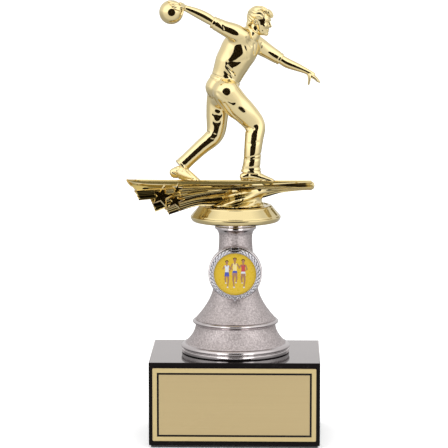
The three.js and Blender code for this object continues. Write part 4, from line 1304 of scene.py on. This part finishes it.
def starMesh(place, size, lean, front):
    s = streamerSizes
    rim, depth = s["starRim"], s["starDepth"]

    def outline(scale, height):
        ring = []
        for i in range(10):
            radius = size * scale * (s["starWaist"] if i % 2 else 1)
            angle = math.pi / 2 + i * math.pi / 5 - front * lean
            ring.append((radius * math.cos(angle), radius * math.sin(angle), height))
        return ring

    width, proud = min(rim / size, 0.42), s["starProud"]
    levels = [outline(1, proud - depth), outline(1, proud - 0.9), outline(1 - width, proud),
              outline(1 - width * 1.08, proud), outline(1 - width * 1.25, proud - 0.5)]
    points = [p for level in levels for p in level]
    # painted shade: the sunken inner face is painted olive
    paintedShadeAndTone = [0] * 40 + [1.0] * 10 + [0, 1.0]
    faces = [(k * 10 + i, k * 10 + (i + 1) % 10, k * 10 + 10 + (i + 1) % 10, k * 10 + 10 + i)
             for k in range(len(levels) - 1) for i in range(10)]
    for row, height in ((0, levels[0][0][2]), (len(levels) - 1, levels[-1][0][2])):
        points.append((0, 0, height))
        faces += [(row * 10 + i, row * 10 + (i + 1) % 10, len(points) - 1) for i in range(10)]
    tilt = math.pi / 2 + s["starTilt"]
    x, y, z = np.array(points).T
    y, z = y * math.cos(tilt) - z * math.sin(tilt), y * math.sin(tilt) + z * math.cos(tilt)
    if front < 0:
        x, y = -x, -y
    points = np.stack([x + place[0], y - front * place[1], z + place[2] + deckHeight], 1)
    shaded.extend(zip(points, paintedShadeAndTone))
    return facing(newMesh("star", points, faces, sharp=20))


def neckMesh():
    # the neck, with the flutes running down round its ragged-end side
    s = streamerSizes
    rows = roundedLine(s["neck"], 7)
    segments = 180
    mesh = turnedMesh("neck", [(r, z + deckHeight) for r, z in rows], segments)
    for vert in mesh.vertices:
        x, y, z = np.array(vert.co) / mm
        radius = math.hypot(x, y)
        low = z - deckHeight
        if radius < 8:
            continue
        # towards the tip it flares out into the underside
        along = max(0, x / radius)
        spread = s["flare"] * max(0, (low + 11) / 8.4) ** s["flarePower"] * along ** 8 + 1.2 * along ** 2
        angle = math.atan2(abs(y), x)
        share = min(1, max(0, (angle - 0.5) / 0.6)) if -11.9 < low < -2.7 else 0
        wave = math.cos(2 * math.pi * (low * 0.26 + angle * 0.83))
        # towards the ragged end its upper part draws back under the flutes
        turned = min(1, max(0, (angle - 1.5) / 0.9))
        spread -= s["tuck"] * turned ** 2 * (3 - 2 * turned) * min(1, max(0, (low + 12) / 3))
        grown = 1 + (s["channelDepth"] * share * wave + spread) / radius
        vert.co.x *= grown
        vert.co.y *= grown
        # painted shade: the troughs of these flutes are painted darker
        shaded.append((np.array(vert.co) / mm, 0.95 * share * (0.5 - 0.5 * wave)))
    mesh.update()
    return facing(mesh)


def tipMesh():
    (x, y, z), radii = streamerSizes["tip"]
    ball = bmesh.new()
    bmesh.ops.create_icosphere(ball, subdivisions=5, radius=1)
    for vert in ball.verts:
        vert.co = Vector((vert.co.x * radii[0] + x, vert.co.y * radii[1] + y,
                          vert.co.z * radii[2] + z + deckHeight)) * mm
    mesh = bpy.data.meshes.new("tip")
    ball.to_mesh(mesh)
    ball.free()
    return mesh


def markPaintedShade(mesh):
    # hands each point the painted shade of the nearest point of the parts it was joined from
    tree = KDTree(len(shaded))
    for number, (point, _) in enumerate(shaded):
        tree.insert(Vector(point) * mm, number)
    tree.balance()
    values = []
    for vert in mesh.vertices:
        _, number, gap = tree.find(vert.co)
        values.append(shaded[number][1] if gap < 0.25 * mm else 0)
    mesh.attributes.new("paintedShadeAndTone", "FLOAT", "POINT").data.foreach_set("value", np.array(values, np.float32))


def streamerPiece():
    parts = []
    for front in (1, -1):
        parts += [fluteMesh(number, front) for number in range(4)]
        for (x, y, z), size, lean in streamerSizes["stars"]:
            # at the back no star reaches above the deck
            parts.append(starMesh((x, y, z if front > 0 else min(z, -size - 0.2)), size, lean, front))
    parts += [neckMesh(), tipMesh()]
    whole = combined(parts[0], parts[1:])
    markPaintedShade(whole)
    showPiece("starStreamer", smoothAgain(whole, 28), gold, "topper", ("star_streamer",))


# insert and its ring
ringSizes = {"window": 11.8, "outer": 14.4, "leafPairs": 17, "leafLength": 3.3, "leafWidth": 1.25,
             "leafRise": 0.62}
seatCentre = np.array([0.0, 0.0, 96.0])


def toFront(mesh, y):
    # from lying in x and y, facing up, to standing in x and z, facing the front at the given y
    for vert in mesh.vertices:
        a, b, c = vert.co
        vert.co = (a, y * mm - c, b + seatCentre[2] * mm)
    mesh.update()
    return mesh


def newTree(name, inputs):
    tree = bpy.data.node_groups.new(name, "GeometryNodeTree")
    tree.interface.new_socket(name="Geometry", in_out="INPUT", socket_type="NodeSocketGeometry")
    tree.interface.new_socket(name="Geometry", in_out="OUTPUT", socket_type="NodeSocketGeometry")
    for label, kind in inputs:
        tree.interface.new_socket(name=label, in_out="INPUT", socket_type=kind)
    return tree, tree.nodes.new("NodeGroupInput"), tree.nodes.new("NodeGroupOutput")


def bakedTree(tree, values, name):
    # runs a tree on an empty mesh and gives back the plain mesh that comes out
    carrier = bpy.data.objects.new(name, bpy.data.meshes.new(name))
    bpy.context.scene.collection.objects.link(carrier)
    modifier = carrier.modifiers.new("tree", "NODES")
    modifier.node_group = tree
    named = {item.name: item.identifier for item in tree.interface.items_tree if item.in_out == "INPUT"}
    for label, value in values.items():
        modifier[named[label]] = value
    graph = bpy.context.evaluated_depsgraph_get()
    mesh = bpy.data.meshes.new_from_object(carrier.evaluated_get(graph))
    bpy.data.objects.remove(carrier)
    mesh.name = name
    return mesh


def leafMesh():
    # one laurel leaf, pointing along +X: a cushion with a pressed midrib
    r = ringSizes
    rows, columns = 9, 7
    points, faces = [], []
    for i in range(rows):
        t = i / (rows - 1)
        half = r["leafWidth"] / 2 * math.sin(math.pi * (0.06 + 0.9 * t)) ** 0.75
        for j in range(columns):
            s = 2 * j / (columns - 1) - 1
            rise = r["leafRise"] * (1 - s * s) ** 0.6 * math.sin(math.pi * (0.1 + 0.8 * t)) ** 0.6
            rise -= 0.16 * math.exp(-(s / 0.2) ** 2)
            points.append((r["leafLength"] * (t - 0.5), half * s, max(rise, 0) + 0.02))
    for i in range(rows - 1):
        for j in range(columns - 1):
            a = i * columns + j
            faces.append((a, a + columns, a + columns + 1, a + 1))
    rim = (list(range(columns)) + [i * columns + columns - 1 for i in range(1, rows)]
           + [(rows - 1) * columns + j for j in range(columns - 2, -1,
                                                      -1)] + [i * columns for i in range(rows - 2, 0, -1)])
    start = len(points)
    points += [(points[k][0], points[k][1], -0.5) for k in rim]
    for n, k in enumerate(rim):
        m = (n + 1) % len(rim)
        faces.append((k, rim[m], start + m, start + n))
    faces.append(tuple(range(start, start + len(rim)))[::-1])
    return facing(newMesh("leaf", points, faces, sharp=50))


def wreathTree():
    # leaves along one half of the ring, from the bottom notch up to the top tab, in two staggered rows
    tree, start, end = newTree("laurelWreath", [("Leaf", "NodeSocketObject"), ("Radius", "NodeSocketFloat"),
                                                ("Leaves", "NodeSocketInt"), ("Swing", "NodeSocketFloat"),
                                                ("First Angle", "NodeSocketFloat"),
                                                ("Last Angle", "NodeSocketFloat"),
                                                ("Finish", "NodeSocketMaterial")])
    link = tree.links.new
    line = tree.nodes.new("GeometryNodeMeshLine")
    line.mode = "OFFSET"
    link(start.outputs["Leaves"], line.inputs["Count"])
    index = tree.nodes.new("GeometryNodeInputIndex")
    less = tree.nodes.new("ShaderNodeMath")
    less.operation = "SUBTRACT"
    less.inputs[1].default_value = 1
    link(start.outputs["Leaves"], less.inputs[0])
    share = tree.nodes.new("ShaderNodeMath")
    share.operation = "DIVIDE"
    link(index.outputs[0], share.inputs[0])
    link(less.outputs[0], share.inputs[1])
    angle = tree.nodes.new("ShaderNodeMapRange")
    link(share.outputs[0], angle.inputs["Value"])
    link(start.outputs["First Angle"], angle.inputs["To Min"])
    link(start.outputs["Last Angle"], angle.inputs["To Max"])
    parts = {}
    for kind in ("COSINE", "SINE"):
        turn = tree.nodes.new("ShaderNodeMath")
        turn.operation = kind
        link(angle.outputs["Result"], turn.inputs[0])
        reach = tree.nodes.new("ShaderNodeMath")
        reach.operation = "MULTIPLY"
        link(turn.outputs[0], reach.inputs[0])
        link(start.outputs["Radius"], reach.inputs[1])
        parts[kind] = reach.outputs[0]
    spot = tree.nodes.new("ShaderNodeCombineXYZ")
    link(parts["COSINE"], spot.inputs["X"])
    link(parts["SINE"], spot.inputs["Y"])
    place = tree.nodes.new("GeometryNodeSetPosition")
    link(line.outputs[0], place.inputs["Geometry"])
    link(spot.outputs[0], place.inputs["Position"])
    heading = tree.nodes.new("ShaderNodeMath")
    heading.operation = "ADD"
    link(angle.outputs["Result"], heading.inputs[0])
    link(start.outputs["Swing"], heading.inputs[1])
    facingWay = tree.nodes.new("ShaderNodeCombineXYZ")
    link(heading.outputs[0], facingWay.inputs["Z"])
    leaf = tree.nodes.new("GeometryNodeObjectInfo")
    link(start.outputs["Leaf"], leaf.inputs["Object"])
    copies = tree.nodes.new("GeometryNodeInstanceOnPoints")
    link(place.outputs[0], copies.inputs["Points"])
    link(leaf.outputs["Geometry"], copies.inputs["Instance"])
    link(facingWay.outputs[0], copies.inputs["Rotation"])
    real = tree.nodes.new("GeometryNodeRealizeInstances")
    link(copies.outputs[0], real.inputs[0])
    finish = tree.nodes.new("GeometryNodeSetMaterial")
    link(real.outputs[0], finish.inputs["Geometry"])
    link(start.outputs["Finish"], finish.inputs["Material"])
    link(finish.outputs[0], end.inputs[0])
    return tree


def insertRing():
    r = ringSizes
    low, high = boxOf("insert_ring")
    back = high[1]
    depth = high[1] - low[1]
    bezel = roundedLine([[12.9, 0, 0], [14.2, 0, 0.15], [r["outer"], 0.8, 0.3], [r["outer"], 1.5, 0.3],
                         [14.0, 1.95, 0.25],
                         [12.6, 1.95, 0.2], [12.3, 2.45, 0.2], [r["window"] + 0.15, 2.55, 0.15],
                         [r["window"], 2.1, 0.15],
                         [r["window"], 1.85, 0], [12.9, 1.85, 0]], 5)
    mesh = toFront(turnedMesh("ringBezel", bezel, 160), back)
    showPiece("ringBezel", facing(mesh), silver, "riser", ("insert_ring",))
    leaf = bpy.data.objects.new("leaf", leafMesh())
    bpy.context.scene.collection.objects.link(leaf)
    tree = wreathTree()
    parts = []
    for radius, shift, lean in ((13.75, 0.0, 0.34), (12.85, 0.5, 0.16)):
        for side in (1, -1):
            step = math.radians(156) / r["leafPairs"]
            first = -math.pi / 2 + side * (math.radians(9) + shift * step)
            last = first + side * math.radians(152)
            values = {"Leaf": leaf, "Radius": radius * mm, "Leaves": r["leafPairs"], "First Angle": first,
                      "Last Angle": last,
                      "Swing": side * math.pi / 2 - side * lean, "Finish": silver}
            parts.append(bakedTree(tree, values, "wreathRow"))
    bpy.data.objects.remove(leaf)
    wreath = bmesh.new()
    for part in parts:
        wreath.from_mesh(part)
    merged = bpy.data.meshes.new("laurelWreath")
    wreath.to_mesh(merged)
    wreath.free()
    smoothAgain(toFront(merged, back - 1.85), 50)
    showPiece("laurelWreath", merged, silver, "riser")
    # a plain tab at the top and a small knot at the bottom
    for name, spot, half, tall in (("topTab", 14.35, 2.3, 0.85), ("bottomKnot", -14.3, 0.55, 0.95)):
        piece = bevelledBox(name, (-half, back - depth + 0.15, seatCentre[2] + spot - tall),
                            (half, back - 0.7, seatCentre[2] + spot + tall), 0.25)
        showPiece(name, piece, silver, "riser")


def roundPrint(name, outlines, y, thick, ink):
    # flat printed shapes on the insert, each an outline in x and height from the middle
    printed = bmesh.new()
    for number, outline in enumerate(outlines):
        area = sum(a[0] * b[1] - b[0] * a[1] for a, b in zip(outline, outline[1:] + outline[:1]))
        ring = outline if area > 0 else outline[::-1]
        verts = [printed.verts.new(Vector((x, y, z + seatCentre[2])) * mm) for x, z in ring]
        face = printed.faces.new(verts)
        made = bmesh.ops.extrude_face_region(printed, geom=[face])
        for v in made["geom"]:
            if isinstance(v, bmesh.types.BMVert):
                v.co.y -= (thick + 0.004 * number) * mm
    bmesh.ops.recalc_face_normals(printed, faces=printed.faces)
    mesh = bpy.data.meshes.new(name)
    printed.to_mesh(mesh)
    printed.free()
    return showPiece(name, mesh, ink, "riser")


def blob(cx, cz, rx, rz, turn=0, sides=16):
    c, s = math.cos(turn), math.sin(turn)
    ring = [(rx * math.cos(a), rz * math.sin(a)) for a in (2 * math.pi * k / sides for k in range(sides))]
    return [(cx + x * c - z * s, cz + x * s + z * c) for x, z in ring]


def stroke(a, b, wide, narrow):
    # a tapered limb between two points
    a, b = np.array(a, float), np.array(b, float)
    way = (b - a) / np.linalg.norm(b - a)
    side = np.array([-way[1], way[0]])
    ends = []
    for middle, size, sign in ((a, wide, -1), (b, narrow, 1)):
        for angle in np.linspace(-1.2, 1.2, 5):
            turn = sign * (way * math.cos(angle)) + side * math.sin(angle) * (1 if sign > 0 else -1)
            ends.append(tuple(middle + turn * size))
    return ends


def insertPieces():
    low, high = boxOf("insert_disc")
    face = roundedLine([[0, 0, 0], [12.7, 0, 0.1], [12.7, 0.8, 0.15], [0, 0.8, 0]], 4)
    disc = facing(toFront(turnedMesh("insertDisc", face, 120), high[1]))
    showPiece("insertDisc", smoothAgain(disc), foil, "riser", ("insert_disc",))
    tape = [(4.0, 0), (10.0, 0), (10.0, 0.4), (4.0, 0.4)]
    ring = facing(toFront(turnedMesh("insertTape", tape, 80), boxOf("insert_tape")[1][1]))
    showPiece("insertTape", smoothAgain(ring), foam, "riser", ("insert_tape",))
    y = low[1]
    skinInk = printedInk("printedSkin", (0.27, 0.13, 0.065, 1), (0.34, 0.17, 0.09, 1))
    hairInk = printedInk("printedHair", (0.012, 0.006, 0.004, 1), (0.02, 0.01, 0.007, 1), mirror=0.1)
    inks = {
        "white": printedInk("printedWhite", (0.46, 0.49, 0.56, 1), (0.54, 0.57, 0.63, 1)),
        "blue": printedInk("printedBlue", (0.03, 0.05, 0.32, 1), (0.05, 0.08, 0.40, 1)),
        "cream": printedInk("printedCream", (0.58, 0.47, 0.17, 1), (0.66, 0.55, 0.25, 1)),
        "red": printedInk("printedRed", (0.38, 0.035, 0.04, 1), (0.46, 0.05, 0.055, 1)),
    }
    # three runners coming on: middle x, foot height, size, leading side, top and shorts
    runners = [(-4.6, -7.8, 1.15, 1, "white", "blue"), (-0.1, -7.8, 1.26, -1, "cream", "blue"),
               (4.6, -7.8, 1.2, 1, "red", "white")]
    skinShapes, hairShapes, shoes, clothes = [], [], [], {key: [] for key in inks}
    for cx, foot, k, lead, top, shorts in runners:
        at = lambda x, z: (cx + lead * x * k, foot + z * k)
        skinShapes += [stroke(at(0.45, 6.2), at(0.75, 3.6), 0.62 * k, 0.42 * k),
                       stroke(at(0.75, 3.6), at(0.35, 0.7), 0.42 * k, 0.26 * k),
                       stroke(at(-0.5, 6.2), at(-0.8, 4.2), 0.6 * k, 0.42 * k),
                       stroke(at(-0.8, 4.2), at(-0.55, 2.7), 0.38 * k, 0.26 * k),
                       stroke(at(1.15, 10.6), at(1.8, 9.0), 0.34 * k, 0.28 * k),
                       stroke(at(1.8, 9.0), at(1.1, 8.2), 0.27 * k, 0.2 * k),
                       stroke(at(-1.15, 10.6), at(-1.9, 9.3), 0.34 * k, 0.28 * k),
                       stroke(at(-1.9, 9.3), at(-1.5, 10.3), 0.27 * k, 0.2 * k),
                       stroke(at(0, 10.9), at(0, 12.0), 0.36 * k, 0.34 * k),
                       blob(*at(0, 12.5), 0.66 * k, 0.86 * k)]
        hairShapes.append(blob(*at(0, 13.0), 0.82 * k, 0.66 * k))
        shoes += [blob(*at(0.35, 0.25), 0.42 * k, 0.34 * k), blob(*at(-0.5, 2.35), 0.34 * k, 0.3 * k)]
        clothes[top].append([at(-1.15, 10.9), at(-0.45, 11.15), at(0, 10.75), at(0.45, 11.15),
                             at(1.15, 10.9), at(0.85, 9.6),
                             at(0.9, 7.6), at(-0.9, 7.6), at(-0.85, 9.6)])
        clothes[shorts].append([at(-0.92, 7.7), at(0.92, 7.7), at(1.2, 5.7), at(0.2, 5.55), at(0, 6.2),
                                at(-0.25, 5.55),
                                at(-1.15, 5.8)])
    roundPrint("runnerSkin", skinShapes, y, 0.02, skinInk)
    roundPrint("runnerHair", hairShapes, y, 0.035, hairInk)
    roundPrint("runnerShoes", shoes, y, 0.03, inks["white"])
    for key, shapes in clothes.items():
        roundPrint("runner" + key.capitalize(), shapes, y, 0.045, inks[key])


# the rod's thread
def threadTree():
    tree, start, end = newTree("rodThread", [("Turns", "NodeSocketFloat"), ("Pitch", "NodeSocketFloat"),
                                             ("Root Radius", "NodeSocketFloat"), ("Depth", "NodeSocketFloat"),
                                             ("Finish", "NodeSocketMaterial")])
    link = tree.links.new
    spiral = tree.nodes.new("GeometryNodeCurveSpiral")
    spiral.inputs["Resolution"].default_value = 20
    link(start.outputs["Turns"], spiral.inputs["Rotations"])
    height = tree.nodes.new("ShaderNodeMath")
    height.operation = "MULTIPLY"
    link(start.outputs["Turns"], height.inputs[0])
    link(start.outputs["Pitch"], height.inputs[1])
    link(height.outputs[0], spiral.inputs["Height"])
    for side in ("Start Radius", "End Radius"):
        link(start.outputs["Root Radius"], spiral.inputs[side])
    ridge = tree.nodes.new("GeometryNodeCurvePrimitiveCircle")
    ridge.inputs["Resolution"].default_value = 3
    link(start.outputs["Depth"], ridge.inputs["Radius"])
    sweep = tree.nodes.new("GeometryNodeCurveToMesh")
    link(spiral.outputs[0], sweep.inputs["Curve"])
    link(ridge.outputs[0], sweep.inputs["Profile Curve"])
    sweep.inputs["Fill Caps"].default_value = True
    real = tree.nodes.new("GeometryNodeRealizeInstances")
    link(sweep.outputs[0], real.inputs[0])
    finish = tree.nodes.new("GeometryNodeSetMaterial")
    link(real.outputs[0], finish.inputs["Geometry"])
    link(start.outputs["Finish"], finish.inputs["Material"])
    link(finish.outputs[0], end.inputs[0])
    return tree


def rodPiece():
    low, high = boxOf("threaded_rod")
    pitch, depth, tail = 1.0, 0.42, 0.7
    core = roundedLine([[0, low[2], 0], [1.9, low[2], 0.1], [2.0, low[2] + 0.4, 0.1],
                        [2.0, high[2] - 0.4, 0.1],
                        [1.9, high[2], 0.1], [0, high[2], 0]], 4)
    showPiece("rodCore", facing(turnedMesh("rodCore", core, 32)), steel, "topper",
              ("threaded_rod",))
    turns = (high[2] - low[2] - 2 * tail) / pitch
    thread = bakedTree(threadTree(),
                       {"Turns": turns, "Pitch": pitch * mm, "Root Radius": 2.0 * mm, "Depth": depth * mm,
                                      "Finish": steel}, "rodThread")
    for vert in thread.vertices:
        vert.co.z += (low[2] + tail) * mm
    showPiece("rodThread", facing(thread), steel, "topper")


deckHeight = boxOf("star_streamer")[1][2] - 1.2
shaded = []
streamerPiece()
print("scene: streamer made")
insertRing()
insertPieces()
print("scene: insert and ring made")
rodPiece()
print("scene: rod made")
for name, values in studio["panels"].items():
    areaLight(name, *values)
